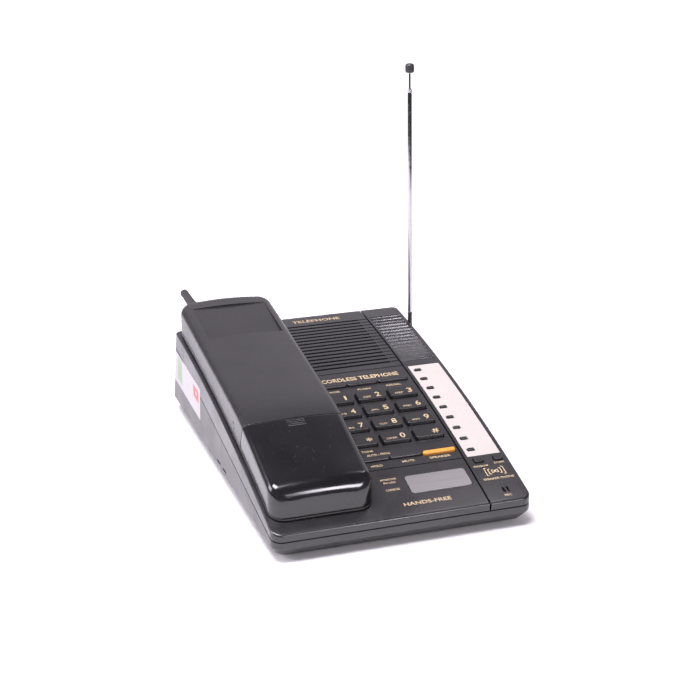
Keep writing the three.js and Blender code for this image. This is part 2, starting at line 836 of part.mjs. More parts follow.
const mast = new THREE.Group();
mast.position.set(aerial.x, aerial.y, aerial.pivotHeight);
mast.rotation.x = -aerial.lean;
const outerBottom = aerial.stemTop + GAP;
const { outerRadius, middleRadius, rodRadius, outerTop, middleTop, rodTop, tipTop } = aerial;
mast.add(named("aerial_foot", aerialFoot(), satinBlack));
mast.add(named("aerial_outer_tube", pipe(outerRadius, middleRadius + 0.15, outerBottom, outerTop), chrome));
mast.add(named("aerial_middle_tube", pipe(middleRadius, rodRadius + 0.15, outerBottom + 2, middleTop), chrome));
mast.add(named("aerial_rod", upright(rodRadius, outerBottom + 14, rodTop), chrome));
mast.add(named("aerial_tip", upright(aerial.tipRadius, rodTop + GAP, tipTop, 16), satinBlack));
phone.add(mast);

phone.add(named("handset_front_case", geometryOf(handsetFrontCase()), satinBlack));
phone.add(named("handset_back_case", geometryOf(handsetBackCase()), satinBlack));
phone.add(named("battery_cover", geometryOf(batteryCover()), glossBlack));
phone.add(named("battery_pack", batteryPack(), cellBlue));
phone.add(named("handset_keypad", geometryOf(handsetKeypad()), rubber));
phone.add(named("handset_board", handsetBoard(), boardGreen));

const receiverGroup = standOnTop(receiver.x, receiver.y);
receiverGroup.add(named("handset_receiver", upright(receiver.radius, receiver.bottom, receiver.top, 20), silver));
phone.add(receiverGroup);

const stubAntenna = named("handset_antenna", handsetAntenna(), rubber);
stubAntenna.position.set(stub.x, handset.back + GAP + stub.collarRadius * stub.slope, stub.height);
stubAntenna.rotation.x = Math.atan(stub.slope);
phone.add(stubAntenna);

// The origin is on the table, under the middle of the whole phone.
const bounds = new THREE.Box3().setFromObject(phone);
const centre = bounds.getCenter(new THREE.Vector3());
phone.position.set(-centre.x, -centre.y, -bounds.min.z);

export default phone;
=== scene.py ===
"""The finished look of a cordless telephone: a wedge-shaped desk base and the handset in its cradle.

Shapes are worked out in millimetres in the base's own frame, whose origin is on the desk under the
middle of the base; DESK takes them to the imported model's frame in metres.
"""

import math

import bmesh
import bpy
from mathutils import Matrix, Vector


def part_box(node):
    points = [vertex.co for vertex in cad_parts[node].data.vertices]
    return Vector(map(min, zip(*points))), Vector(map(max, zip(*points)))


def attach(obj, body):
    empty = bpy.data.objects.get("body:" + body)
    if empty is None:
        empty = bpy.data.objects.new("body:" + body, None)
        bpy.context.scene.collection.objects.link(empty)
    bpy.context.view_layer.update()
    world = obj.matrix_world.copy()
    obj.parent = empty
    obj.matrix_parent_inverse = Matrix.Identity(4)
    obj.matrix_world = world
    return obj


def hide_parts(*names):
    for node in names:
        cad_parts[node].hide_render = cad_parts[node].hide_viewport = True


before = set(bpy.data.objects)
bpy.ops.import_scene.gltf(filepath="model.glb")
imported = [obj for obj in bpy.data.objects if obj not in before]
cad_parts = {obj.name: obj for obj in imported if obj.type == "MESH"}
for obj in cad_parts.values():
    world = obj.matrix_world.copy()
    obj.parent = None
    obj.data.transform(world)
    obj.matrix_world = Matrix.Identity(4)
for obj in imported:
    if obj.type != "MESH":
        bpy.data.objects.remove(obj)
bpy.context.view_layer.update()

MM = 0.001
DEPTH = 231
FRONT, BACK = -DEPTH / 2, DEPTH / 2
FLOOR_HEIGHT = 1.1  # underside of the base above the desk

case_low, case_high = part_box("base_lower_case")
WIDTH = (case_high.x - case_low.x) / MM
LEFT, RIGHT = -WIDTH / 2, WIDTH / 2
ORIGIN = Vector(((case_low.x + case_high.x) / 2, case_low.y - FRONT * MM, case_low.z - FLOOR_HEIGHT * MM))
DESK = Matrix.Translation(ORIGIN) @ Matrix.Scale(MM, 4)
TO_MM = DESK.inverted()


def node_box(name):
    """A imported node's lowest and highest corners, in millimetres."""
    low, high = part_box(name)
    return TO_MM @ low, TO_MM @ high


# ---------- dimensions (mm)

FRONT_HEIGHT = 15.7  # top of the base at its front edge; it rises by RISE less SAG towards the back
RISE = 67.5
SAG = 25.4
WALL = 2.5
CORNER = 6.5
BACK_CORNER = 4
BACK_LEAN = 0.26
RIM = 1.2  # rounding along the outer edge of the top
PARTING_FRONT = 10.8
PARTING_RISE = 35.2
FOLD_HEIGHT = 7  # below this the walls of the base draw in, by FOLD_INSET at its floor
FOLD_INSET = 4.2
SEAM_X = 52.2
GAP = 0.3
BEYOND = 200  # outside the base on every side
HIGH = 130  # above the handset
LINE = 0.55  # width of the joint line round the base
PANEL_LINE = 0.9  # width of the joint between the main top and the right-hand panel

HAND_LEFT, HAND_RIGHT = -76.8, -14.8
HAND_FRONT, HAND_BACK = -105.8, 113
HAND_MIDDLE = (HAND_LEFT + HAND_RIGHT) / 2
HAND_CORNER = 9
HAND_WALL = 2
HAND_LIFT = 0.6
BEND_Y = -39
BEND_HEIGHT = 58.6
EAR_SLOPE = 0.13
MOUTH_SLOPE = 0.315
SHOULDER = 5
CROWN = 1.1
FRONT_ROUNDING = 8
BACK_ROUNDING = 3
HAND_PARTING = 3.6
COVER_END = -42
COVER_SLOPE = 0.275
COVER_SEAM = -23.3  # back case and cover meet where y + SEAM_LEAN * height equals this
SEAM_LEAN = 0.44


# ---------- curves shared by the pieces


def along(y):
    return (y - FRONT) / DEPTH


def top_height(y):
    t = along(y)
    return FRONT_HEIGHT + RISE * t - SAG * t * t


def top_slope(y):
    return (RISE - 2 * SAG * along(y)) / DEPTH


def top_plus(offset):
    return lambda y: top_height(y) + offset


def parting_height(y):
    return PARTING_FRONT + PARTING_RISE * along(y)


def level(height):
    return lambda y: height


def back_wall(height):
    return BACK + BACK_LEAN * (top_height(BACK) - height)


def on_top(x, y, lift=0):
    """A frame standing on the base's top at (x, y): its Z is the outward normal, its Y runs uphill."""
    tilt = Matrix.Rotation(math.atan(top_slope(y)), 4, "X")
    return Matrix.Translation((x, y, top_height(y))) @ tilt @ Matrix.Translation((0, 0, lift))


def ridge(y):
    softness = 10
    u = y - BEND_Y
    mean = (EAR_SLOPE + MOUTH_SLOPE) / 2
    half = (EAR_SLOPE - MOUTH_SLOPE) / 2
    return BEND_HEIGHT + mean * u + half * (math.hypot(u, softness) - softness)


def hand_parting(y):
    if y > COVER_END:
        return top_height(y) + HAND_PARTING
    return top_height(COVER_END) + HAND_PARTING + COVER_SLOPE * (y - COVER_END)


def end_drop(distance, radius):
    """How far a quarter-round of this radius has fallen away, at a distance from the end face."""
    reach = min(max(1 - distance / radius, 0), 1)
    return radius * (1 - math.sqrt(1 - reach * reach))


# ---------- mesh tools


def mesh_object(name, vertices, faces):
    mesh = bpy.data.meshes.new(name)
    mesh.from_pydata([tuple(v) for v in vertices], [], faces)
    obj = bpy.data.objects.new(name, mesh)
    bpy.context.scene.collection.objects.link(obj)
    return obj


def rounded_rect(left, right, front, back, radius, steps=6, back_radius=None):
    """An outline with rounded corners, of another radius at the back where one is given."""
    back_radius = back_radius or radius
    corners = [
        (right - radius, front + radius, radius, -90),
        (right - back_radius, back - back_radius, back_radius, 0),
        (left + back_radius, back - back_radius, back_radius, 90),
        (left + radius, front + radius, radius, 180),
    ]
    points = []
    for x, y, radius, start in corners:
        for i in range(steps + 1):
            angle = math.radians(start + 90 * i / steps)
            points.append((x + radius * math.cos(angle), y + radius * math.sin(angle)))
    return points


def centred(x, y, width, depth):
    """The left, right, front and back of a rectangle from its middle and size."""
    return x - width / 2, x + width / 2, y - depth / 2, y + depth / 2


def loft(rings):
    """A closed skin over rings with equal numbers of points, each ring turning the same way."""
    count = len(rings[0])
    vertices = [point for ring in rings for point in ring]
    faces = []
    for ring in range(len(rings) - 1):
        for i in range(count):
            a = ring * count + i
            b = ring * count + (i + 1) % count
            faces.append((a, b, b + count, a + count))
    last = (len(rings) - 1) * count
    faces.append(tuple(reversed(range(count))))
    faces.append(tuple(range(last, last + count)))
    obj = mesh_object("loft", vertices, faces)
    edit(obj, lambda bm: bmesh.ops.recalc_face_normals(bm, faces=bm.faces))
    return obj


def prism(points, bottom, top):
    return loft([[(x, y, z) for x, y in points] for z in (bottom, top)])


def block(left, right, front, back, bottom, top):
    return prism([(left, front), (right, front), (right, back), (left, back)], bottom, top)


def slab(left, right, front, back, lower, upper, steps=24):
    """A solid from left to right whose side view lies between two height curves."""
    ys = [front + (back - front) * i / steps for i in range(steps + 1)]
    side = [(y, lower(y)) for y in ys] + [(y, upper(y)) for y in reversed(ys)]
    return loft([[(x, y, z) for y, z in side] for x in (left, right)])


def cylinder(radius, bottom, top, sides=24):
    ring = [2 * math.pi * i / sides for i in range(sides)]
    return loft([[(radius * math.cos(a), radius * math.sin(a), z) for a in ring] for z in (bottom, top)])


def lathe(profile, sides=32, bore=None):
    """Turns (radius, height) points about Z, with an optional (radius, bottom) bore open at the top."""
    angles = [2 * math.pi * i / sides for i in range(sides)]
    points = list(profile)
    if bore:
        radius, bottom = bore
        points += [(radius, profile[-1][1]), (radius, bottom)]
    points = [(max(radius, 0.01), height) for radius, height in points]
    return loft([[(r * math.cos(a), r * math.sin(a), z) for a in angles] for r, z in points])


def edit(obj, change):
    bm = bmesh.new()
    bm.from_mesh(obj.data)
    result = change(bm)
    bm.to_mesh(obj.data)
    bm.free()
    return result


def move(obj, matrix):
    obj.data.transform(matrix)
    return obj


def discard(obj):
    mesh = obj.data
    bpy.data.objects.remove(obj)
    if mesh.users == 0:
        bpy.data.meshes.remove(mesh)


def boolean(target, tool, operation="DIFFERENCE"):
    modifier = target.modifiers.new("cut", "BOOLEAN")
    modifier.operation = operation
    modifier.solver = "EXACT"
    modifier.object = tool
    graph = bpy.context.evaluated_depsgraph_get()
    result = bpy.data.meshes.new_from_object(target.evaluated_get(graph))
    target.modifiers.clear()
    target.data = result
    discard(tool)
    return target


def join(objects):
    """One object holding the meshes of several that don't touch."""
    bm = bmesh.new()
    for obj in objects:
        bm.from_mesh(obj.data)
    mesh = bpy.data.meshes.new("joined")
    bm.to_mesh(mesh)
    bm.free()
    for obj in objects:
        discard(obj)
    joined = bpy.data.objects.new("joined", mesh)
    bpy.context.scene.collection.objects.link(joined)
    return joined


def cut(target, *tools):
    for tool in tools:
        boolean(target, tool)
    return target


def bevel(obj, width, segments, chosen):
    """Rounds the sharp edges that chosen(edge) accepts."""

    def change(bm):
        bmesh.ops.remove_doubles(bm, verts=bm.verts, dist=1e-4)
        bmesh.ops.dissolve_degenerate(bm, edges=bm.edges, dist=1e-4)
        edges = []
        for edge in bm.edges:
            if len(edge.link_faces) == 2 and edge.calc_face_angle() > math.radians(32) and chosen(edge):
                edges.append(edge)
        bmesh.ops.bevel(
            bm, geom=edges, offset=width, offset_type="OFFSET", segments=segments, profile=0.5, affect="EDGES"
        )

    edit(obj, change)
    return obj


def middle_of(edge):
    return (edge.verts[0].co + edge.verts[1].co) / 2


def height_over(surface, edge):
    point = middle_of(edge)
    return point.z - surface(point.y)


# ---------- materials


def feed(tree, sockets, values):
    """Gives each socket its value: a number, a colour or another node's socket."""
    for socket, value in zip(sockets, values):
        if isinstance(value, bpy.types.NodeSocket):
            tree.links.new(value, socket)
        else:
            socket.default_value = value


def math_node(tree, operation, a, b=0):
    node = tree.nodes.new("ShaderNodeMath")
    node.operation = operation
    feed(tree, node.inputs, (a, b))
    return node.outputs[0]


def map_range(tree, value, from_low, from_high, to_low=0, to_high=1):
    node = tree.nodes.new("ShaderNodeMapRange")
    feed(tree, node.inputs, (value, from_low, from_high, to_low, to_high))
    return node.outputs["Result"]


def mix_colours(tree, factor, a, b):
    node = tree.nodes.new("ShaderNodeMix")
    node.data_type = "RGBA"
    feed(tree, [node.inputs[name] for name in ("Factor", "A", "B")], (factor, a, b))
    return node.outputs["Result"]


class Material:
    """A Principled material with a few helpers for procedural detail."""

    def __init__(self, name, colour, roughness, metallic=0.0, **values):
        self.material = bpy.data.materials.new(name)
        self.material.use_nodes = True
        self.tree = self.material.node_tree
        self.nodes = self.tree.nodes
        self.links = self.tree.links
        self.shader = self.nodes["Principled BSDF"]
        self.colour = colour
        self.shader.inputs["Base Color"].default_value = (*colour, 1)
        self.shader.inputs["Roughness"].default_value = roughness
        self.shader.inputs["Metallic"].default_value = metallic
        for socket, value in values.items():
            self.shader.inputs[socket.replace("_", " ")].default_value = value
        self.height = None
        self.coords = self.nodes.new("ShaderNodeTexCoord").outputs["Object"]
        self.roughness = roughness

    def noise(self, scale, detail=2.0, stretch=(1, 1, 1), turn=0.0):
        mapping = self.nodes.new("ShaderNodeMapping")
        mapping.inputs["Scale"].default_value = stretch
        mapping.inputs["Rotation"].default_value = (0, 0, turn)
        self.links.new(self.coords, mapping.inputs["Vector"])
        noise = self.nodes.new("ShaderNodeTexNoise")
        noise.inputs["Scale"].default_value = scale
        noise.inputs["Detail"].default_value = detail
        self.links.new(mapping.outputs["Vector"], noise.inputs["Vector"])
        return noise.outputs["Fac"]

    def remap(self, value, *limits):
        return map_range(self.tree, value, *limits)

    def tint(self, mask, other):
        """Blends the base colour towards another one where mask is high."""
        socket = self.shader.inputs["Base Color"]
        present = socket.links[0].from_socket if socket.is_linked else (*self.colour, 1)
        self.links.new(mix_colours(self.tree, mask, present, (*other, 1)), socket)
        return self

    def mottle(self, scale, amount):
        lighter = [min(c * (1 + amount) + 0.002, 1) for c in self.colour]
        mask = self.remap(self.noise(scale, 3), 0.35, 0.65, 0, 1)
        return self.tint(mask, lighter)

    def uneven_gloss(self, scale, amount):
        value = self.remap(self.noise(scale, 4), 0.3, 0.7, self.roughness - amount, self.roughness + amount)
        self.links.new(value, self.shader.inputs["Roughness"])
        return self

    def bump(self, value, depth):
        node = self.nodes.new("ShaderNodeBump")
        node.inputs["Distance"].default_value = depth * MM
        self.links.new(value, node.inputs["Height"])
        if self.height is not None:
            self.links.new(self.height, node.inputs["Normal"])
        self.height = node.outputs["Normal"]
        self.links.new(self.height, self.shader.inputs["Normal"])
        return self

    def grain(self, size, depth):
        return self.bump(self.noise(1 / (size * MM), 2), depth)

    def scratches(self, colour, amount=0.8):
        """Sparse hair-fine scratches in two directions, gathered in patches."""
        lines = None
        for turn in (0.5, -0.9):
            fine = self.noise(2600, 1, stretch=(1, 0.035, 0.2), turn=turn)
            line = self.remap(fine, 0.74, 0.78, 0, amount)
            where = self.remap(self.noise(70, 1, turn=turn), 0.52, 0.66, 0, 1)
            both = math_node(self.tree, "MULTIPLY", line, where)
            lines = both if lines is None else math_node(self.tree, "MAXIMUM", lines, both)
        return self.tint(lines, colour)


def plastic(name, colour, roughness, mottle=0.12, unevenness=0.05, grain=(0.35, 0.012)):
    """Moulded plastic: faint mottling, a little unevenness of gloss and a grain of a size and depth (mm)."""
    made = Material(name, colour, roughness, IOR=1.65)
    return made.mottle(30, mottle).uneven_gloss(45, unevenness).grain(*grain)


def make_materials():
    cover = plastic("handset_gloss", (0.0060, 0.0056, 0.0068), 0.16, 0.2, 0.04, (1.2, 0.003))
    cover.scratches((0.10, 0.095, 0.10))
    charcoal = (0.0150, 0.0140, 0.0160)
    made = {
        "base": plastic("charcoal_plastic", charcoal, 0.28),
        "ridges": plastic("ridged_plastic", charcoal, 0.2, 0.12, 0.01, (0.35, 0.001)),
        "lower": plastic("charcoal_tub", (0.0190, 0.0178, 0.0195), 0.36, 0.10, 0.05, (0.4, 0.015)),
        "hand": plastic("handset_satin", (0.0150, 0.0140, 0.0155), 0.28, 0.10, 0.02, (0.3, 0.006)),
        "cover": cover,
        "key": plastic("key_plastic", (0.0110, 0.0104, 0.0115), 0.30, 0.15, 0.05, (0.25, 0.006)),
        "orange": plastic("orange_plastic", (0.68, 0.29, 0.03), 0.32, 0.06, 0.05, (0.25, 0.006)),
        "card": Material("card_paper", (0.47, 0.44, 0.41), 0.85).mottle(90, 0.03).grain(0.15, 0.01),
        "rule": Material("card_rule", (0.55, 0.46, 0.44), 0.8).mottle(200, 0.1),
        "plate": Material("plate_metal", (0.29, 0.285, 0.28), 0.38, 0.7),
        "chrome": Material("aerial_chrome", (0.46, 0.45, 0.47), 0.12, 1.0).uneven_gloss(300, 0.04),
        "black_metal": Material("aerial_black", (0.030, 0.027, 0.029), 0.3, 0.4).uneven_gloss(200, 0.06),
        "black": plastic("black_plastic", (0.012, 0.012, 0.013), 0.40, 0.2, 0.05, (0.25, 0.01)),
        "rubber": plastic("rubber", (0.016, 0.016, 0.017), 0.75, 0.3, 0.05, (0.3, 0.03)),
        "print": Material("legend_print", (0.50, 0.39, 0.235), 0.6).mottle(600, 0.12),
        "brass": Material("contact_metal", (0.75, 0.62, 0.38), 0.28, 1.0).uneven_gloss(400, 0.08),
        "board": Material("circuit_board", (0.03, 0.16, 0.05), 0.45).mottle(300, 0.5),
        "steel": Material("capsule_metal", (0.5, 0.5, 0.52), 0.35, 1.0).uneven_gloss(200, 0.1),
        "wrap": Material("battery_wrap", (0.03, 0.08, 0.25), 0.25).mottle(60, 0.3),
        "label": Material("label_paper", (0.46, 0.45, 0.46), 0.7).mottle(70, 0.04),
        "label_green": Material("label_green", (0.30, 0.38, 0.27), 0.7).mottle(70, 0.15),
        "label_red": Material("label_red", (0.48, 0.17, 0.16), 0.7).mottle(70, 0.15),
    }
    plate = made["plate"]
    brushed = plate.noise(1500, 3, stretch=(0.015, 1, 1))
    plate.bump(brushed, 0.012)
    plate.tint(plate.remap(brushed, 0.3, 0.7, 0, 1), (0.34, 0.33, 0.325))
    return {key: value.material for key, value in made.items()}


LOOK = make_materials()


def finish(obj, name, body, look, replaces=(), smooth_angle=35):
    """Names a piece, gives it its surface and puts it on its body."""
    obj.name = name
    obj.data.name = name
    edit(obj, lambda bm: bmesh.ops.remove_doubles(bm, verts=bm.verts, dist=1e-4))
    move(obj, DESK)
    obj.data.materials.clear()
    obj.data.materials.append(LOOK[look])
    obj.data.polygons.foreach_set("use_smooth", [True] * len(obj.data.polygons))
    obj.data.set_sharp_from_angle(angle=math.radians(smooth_angle))
    weighted = obj.modifiers.new("weighted_normals", "WEIGHTED_NORMAL")
    weighted.keep_sharp = True
    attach(obj, body)
    if replaces:
        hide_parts(*replaces)
    return obj


# ---------- keys

KEY_ROOT = -4  # bottom of a key below the top of the base
KEY_CLEARANCE = 0.45
BAR_WIDTH = 20  # wider keys than this stand end to end, with less room between them
KEY_SMOOTHING = 60

# Sizes of each kind of key; "round" is the rounding of its rim and "corner" that of its outline.
DIAL = {"width": 17.9, "depth": 9.6, "rise": 2.5, "round": 0.5, "corner": 1.1}
TOP_BAR = {"width": 20.1, "depth": 2.8, "rise": 1.6, "round": 0.9, "corner": 1.2}
LOW_BAR = {"width": 20.1, "depth": 2.6, "rise": 1.4, "round": 0.9, "corner": 1.1}
ORANGE_BAR = {"width": 20.8, "depth": 3.2, "rise": 1.8, "round": 1.2, "corner": 1.5}
MEMORY = {"width": 4.2, "depth": 2, "rise": 0.8, "round": 0.35, "corner": 0.5}
SMALL = {"width": 5.4, "depth": 4, "rise": 1, "round": 0.35, "corner": 0.7}

DIAL_FACES = [*"123456789", "star", "0", "hash"]

KEY_KINDS = {f"dial_key_{face}": DIAL for face in DIAL_FACES}
KEY_KINDS.update({name: TOP_BAR for name in ("pause_key", "flash_key", "redial_key")})
KEY_KINDS.update({name: LOW_BAR for name in ("hold_key", "mute_key")})
KEY_KINDS["speaker_phone_key"] = ORANGE_BAR
KEY_KINDS.update({f"memory_key_{i}": MEMORY for i in range(1, 10)})
KEY_KINDS.update({name: SMALL for name in ("program_key", "store_key")})


def key_place(name):
    """Where the middle of a key meets the top of the base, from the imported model."""
    low, high = node_box(name)
    middle = (low + high) / 2
    slope = math.atan(top_slope(middle.y))
    half = (KEY_KINDS[name]["rise"] + KEY_ROOT) / 2
    return middle.x, middle.y + half * math.sin(slope)


def key_hole(name):
    kind = KEY_KINDS[name]
    end_gap = 0.3 * KEY_CLEARANCE if kind["width"] > BAR_WIDTH else KEY_CLEARANCE
    sides = centred(0, 0, kind["width"] + 2 * end_gap, kind["depth"] + 2 * KEY_CLEARANCE)
    hole = prism(rounded_rect(*sides, 0.8, 3), -3.6, 5)
    return move(hole, on_top(*key_place(name)))


def key_cap(name):
    """A key with a rounded outline, whose rim curves over into a flat face."""
    kind = KEY_KINDS[name]
    rise, rim = kind["rise"], kind["round"]
    levels = [(0, KEY_ROOT)]
    steps = 5
    for i in range(steps + 1):
        angle = math.radians(90 * i / steps)
        levels.append((rim * (1 - math.cos(angle)), rise - rim + rim * math.sin(angle)))
    rings = []
    for inset, height in levels:
        sides = centred(0, 0, kind["width"] - 2 * inset, kind["depth"] - 2 * inset)
        points = rounded_rect(*sides, max(kind["corner"] - inset, 0.12), 4)
        rings.append([(x, y, height) for x, y in points])
    return loft(rings)


def make_keys():
    for name, kind in KEY_KINDS.items():
        cap = move(key_cap(name), on_top(*key_place(name)))
        look, slot = "key", "key_plastic"
        if kind is ORANGE_BAR:
            look, slot = "orange", "orange_key"
        elif kind is MEMORY:
            look = "black"
        finish(cap, name + "_cap", name, look, [name], KEY_SMOOTHING)


# ---------- base cases

GRILLE = {"count": 15, "left": -10, "right": 46, "first": 36.6, "pitch": 4.51, "width": 1.9}
GRILLE_ROWS = [GRILLE["first"] + i * GRILLE["pitch"] for i in range(GRILLE["count"])]
CARD = {"left": 54.8, "right": 76, "front": -73.6, "back": 28}
PLATE = {"left": 10.5, "right": 48.4, "front": -97.8, "back": -82.8, "corner": 2}
RIDGES = {"left": 54, "right": 76.2, "front": 34, "back": 102.4, "depth": 1.3, "height": 0.9}
RIDGE_STEPS = 14
MIC_SLOTS = {"places": (64.6, 67.2), "width": 1.4, "front": -107.8, "back": -103.4}
RULES = {"places": (29.6, -74.4), "left": -12, "width": 0.7, "depth": 0.5}
SIDE_VENTS = {"places": (-14, 0), "length": 8, "bottom": 9.2, "top": 10.6, "depth": 0.9}
CRADLE_LEFT, CRADLE_RIGHT = -70, -21.6
# Hollows of the cradle: front, back and depth.
TROUGH = (-97, 101, 2.6)
MOUTH_WELL = (-97, -69, 7.5)
EAR_WELL = (58, 101, 7.5)
AERIAL_Y = 92
PIVOT_HEIGHT = 48
BOSS_HOLE_RADIUS = 4.4


def grown(shape, margin):
    """The left, right, front and back of a rectangle on the top, each moved out by a margin."""
    return shape["left"] - margin, shape["right"] + margin, shape["front"] - margin, shape["back"] + margin


def base_ring(inset, height, front_radius, back_radius):
    """The base's outline at one height; the back wall leans, so it is deeper lower down."""
    right = RIGHT - inset
    back = back_wall(height) - inset
    points = rounded_rect(-right, right, FRONT + inset, back, front_radius, 8, back_radius)
    return [(x, y, height) for x, y in points]


def across_base(lower, upper, steps):
    """A layer between two height curves that reaches past the base on every side."""
    return slab(-90, 90, FRONT - 5, BACK + 25, lower, upper, steps)


def case_block(inset, lower, upper, steps=36):
    radii = (max(CORNER - inset, 1), max(BACK_CORNER - inset, 1))
    walls = loft([base_ring(inset, height, *radii) for height in (-10, 90)])
    return boolean(walls, across_base(lower, upper, steps), "INTERSECT")


def upper_part(left, right):
    """The part of the upper case between two X values, with its rims rounded, and hollow."""
    outer = case_block(0, lambda y: parting_height(y) + LINE, top_height)
    outer = boolean(outer, block(left, right, -BEYOND, BEYOND, -20, 120), "INTERSECT")

    def at_seam(edge):
        x = middle_of(edge).x
        return min(abs(x - left), abs(x - right)) < 0.05

    def on_rim(edge):
        return not at_seam(edge) and height_over(top_height, edge) > -0.5

    def at_seam_or_parting(edge):
        chosen = at_seam(edge) or height_over(parting_height, edge) <= 1
        return chosen and height_over(top_height, edge) < 0.2

    bevel(outer, RIM, 3, on_rim)
    bevel(outer, 0.3, 2, at_seam_or_parting)
    inner = case_block(WALL, lambda y: parting_height(y) - 5, top_plus(-WALL), 24)
    return boolean(outer, inner)


def pocket_tray(size):
    front, back, depth = size
    wall = 2
    sides = (CRADLE_LEFT - wall, CRADLE_RIGHT + wall, front - wall, back + wall)
    return slab(*sides, top_plus(-depth - wall), top_plus(-0.5))


def pocket_hollow(size):
    front, back, depth = size
    return slab(CRADLE_LEFT, CRADLE_RIGHT, front, back, top_plus(-depth), top_plus(5))


def shallow(left, right, front, back, depth, steps):
    """A cutter that sinks a strip of the top by a small depth."""
    return slab(left, right, front, back, top_plus(-depth), top_plus(4), steps)


def grille_slots():
    half = GRILLE["width"] / 2
    slots = []
    for y in GRILLE_ROWS:
        points = rounded_rect(GRILLE["left"], GRILLE["right"], y - half, y + half, half * 0.9, 4)
        slots.append(prism(points, 25, 90))
    return join(slots)


def groove_rows(left, right, depth, width):
    """Shallow grooves in line with the grille's slots."""
    half = width / 2
    return join([shallow(left, right, y - half, y + half, depth, 1) for y in GRILLE_ROWS])


def plate_shape(margin, low, high, steps):
    """The silver plate's outline, grown by a margin, between two offsets from the top of the base."""
    shape = prism(rounded_rect(*grown(PLATE, margin), PLATE["corner"] + margin, steps), 0, 60)
    layer = slab(0, 60, PLATE["front"] - 2, PLATE["back"] + 2, top_plus(low), top_plus(high), 8)
    return boolean(shape, layer, "INTERSECT")


def make_base_upper_case():
    shell = upper_part(-BEYOND, SEAM_X - PANEL_LINE / 2)
    for size in (TROUGH, MOUTH_WELL, EAR_WELL):
        boolean(shell, pocket_tray(size), "UNION")
    for size in (TROUGH, MOUTH_WELL, EAR_WELL):
        boolean(shell, pocket_hollow(size))
    cut(shell, join([key_hole(name) for name in KEY_KINDS if key_place(name)[0] < SEAM_X]))
    cut(shell, grille_slots(), groove_rows(GRILLE["right"] + 0.4, SEAM_X + 2, 0.4, 1.6))
    cut(shell, plate_shape(GAP, -0.7, 5, 6))
    rules = []
    for y in RULES["places"]:
        rules.append(shallow(RULES["left"], SEAM_X + 2, y, y + RULES["width"], RULES["depth"], 1))
    cut(shell, join(rules))
    finish(shell, "base_upper_shell", "base", "base", ["base_upper_case"])


def make_memory_panel():
    panel = upper_part(SEAM_X + PANEL_LINE / 2, BEYOND)
    cut(panel, shallow(*grown(CARD, GAP), 0.9, 24))
    cut(panel, join([key_hole(name) for name in KEY_KINDS if key_place(name)[0] > SEAM_X]))
    slots = []
    half = MIC_SLOTS["width"] / 2
    for x in MIC_SLOTS["places"]:
        outline = rounded_rect(x - half, x + half, MIC_SLOTS["front"], MIC_SLOTS["back"], 0.5, 3)
        slots.append(prism(outline, 5, 40))
    cut(panel, join(slots))
    cut(panel, shallow(*grown(RIDGES, 0), RIDGES["depth"], 24))
    hole = move(cylinder(BOSS_HOLE_RADIUS, -6, 6), Matrix.Rotation(math.radians(90), 4, "Y"))
    cut(panel, move(hole, Matrix.Translation((RIGHT, AERIAL_Y, PIVOT_HEIGHT))))
    finish(panel, "memory_panel_shell", "base", "base", ["memory_panel"])


def make_panel_ridges():
    """The wavy surface that carries the grille's lines across the right-hand panel."""
    proud = 0.02

    def wave(y):
        phase = 2 * math.pi * (y - GRILLE["first"]) / GRILLE["pitch"]
        return top_height(y) - RIDGES["height"] * (0.5 + 0.5 * math.cos(phase)) + proud

    bottom = top_plus(proud - RIDGES["depth"])
    ridges = slab(*grown(RIDGES, 0), bottom, wave, GRILLE["count"] * RIDGE_STEPS)
    finish(ridges, "panel_ridges", "base", "ridges", (), 60)


def tub(inset, floor, fold, top):
    """The base's outline carried up from its floor, drawn in below the fold."""
    levels = ((floor, FOLD_INSET + inset), (fold, inset), (top, inset))
    return loft([base_ring(ring_inset, height, CORNER, BACK_CORNER) for height, ring_inset in levels])


def make_base_lower_case():
    shell = tub(0, FLOOR_HEIGHT, FOLD_HEIGHT, 80)
    boolean(shell, across_base(level(-10), parting_height, 2), "INTERSECT")
    bevel(shell, 0.9, 3, lambda edge: middle_of(edge).z < FOLD_HEIGHT + 0.2)
    bevel(shell, 0.3, 2, lambda edge: middle_of(edge).z > FOLD_HEIGHT + 2)
    cut(shell, tub(WALL, FLOOR_HEIGHT + WALL, FOLD_HEIGHT + 1.5, 90))
    for node in ("line_jack", "power_jack"):
        low, high = node_box(node)
        cut(shell, block(low.x - GAP, high.x + GAP, BACK, BACK + 25, low.z - GAP, high.z + GAP))
    vents = []
    for y in SIDE_VENTS["places"]:
        sides = (LEFT - 1, LEFT + SIDE_VENTS["depth"], y, y + SIDE_VENTS["length"])
        vents.append(block(*sides, SIDE_VENTS["bottom"], SIDE_VENTS["top"]))
    cut(shell, join(vents))
    finish(shell, "base_lower_shell", "base", "lower", ["base_lower_case"])


def make_card_and_plate():
    card_top = -0.1
    card = slab(*grown(CARD, 0), top_plus(-0.6), top_plus(card_top), 24)
    cut(card, join([key_hole(f"memory_key_{i}") for i in range(1, 10)]))
    finish(card, "index_card_sheet", "base", "card", ["index_card"])
    rules = []
    for i in range(1, 10):
        y = key_place(f"memory_key_{i}")[1] - 4.6
        if y > CARD["front"] + 2:
            sides = (CARD["left"] + 6, CARD["right"] - 0.8, y - 0.12, y + 0.12)
            rules.append(slab(*sides, top_plus(card_top), top_plus(card_top + 0.03), 1))
    finish(join(rules), "index_card_rules", "base", "rule")
    plate = plate_shape(0, -0.4, 0.3, 8)
    bevel(plate, 0.25, 2, lambda edge: height_over(top_height, edge) > 0.1)
    finish(plate, "name_plate_face", "base", "plate", ["name_plate"])


# ---------- handset


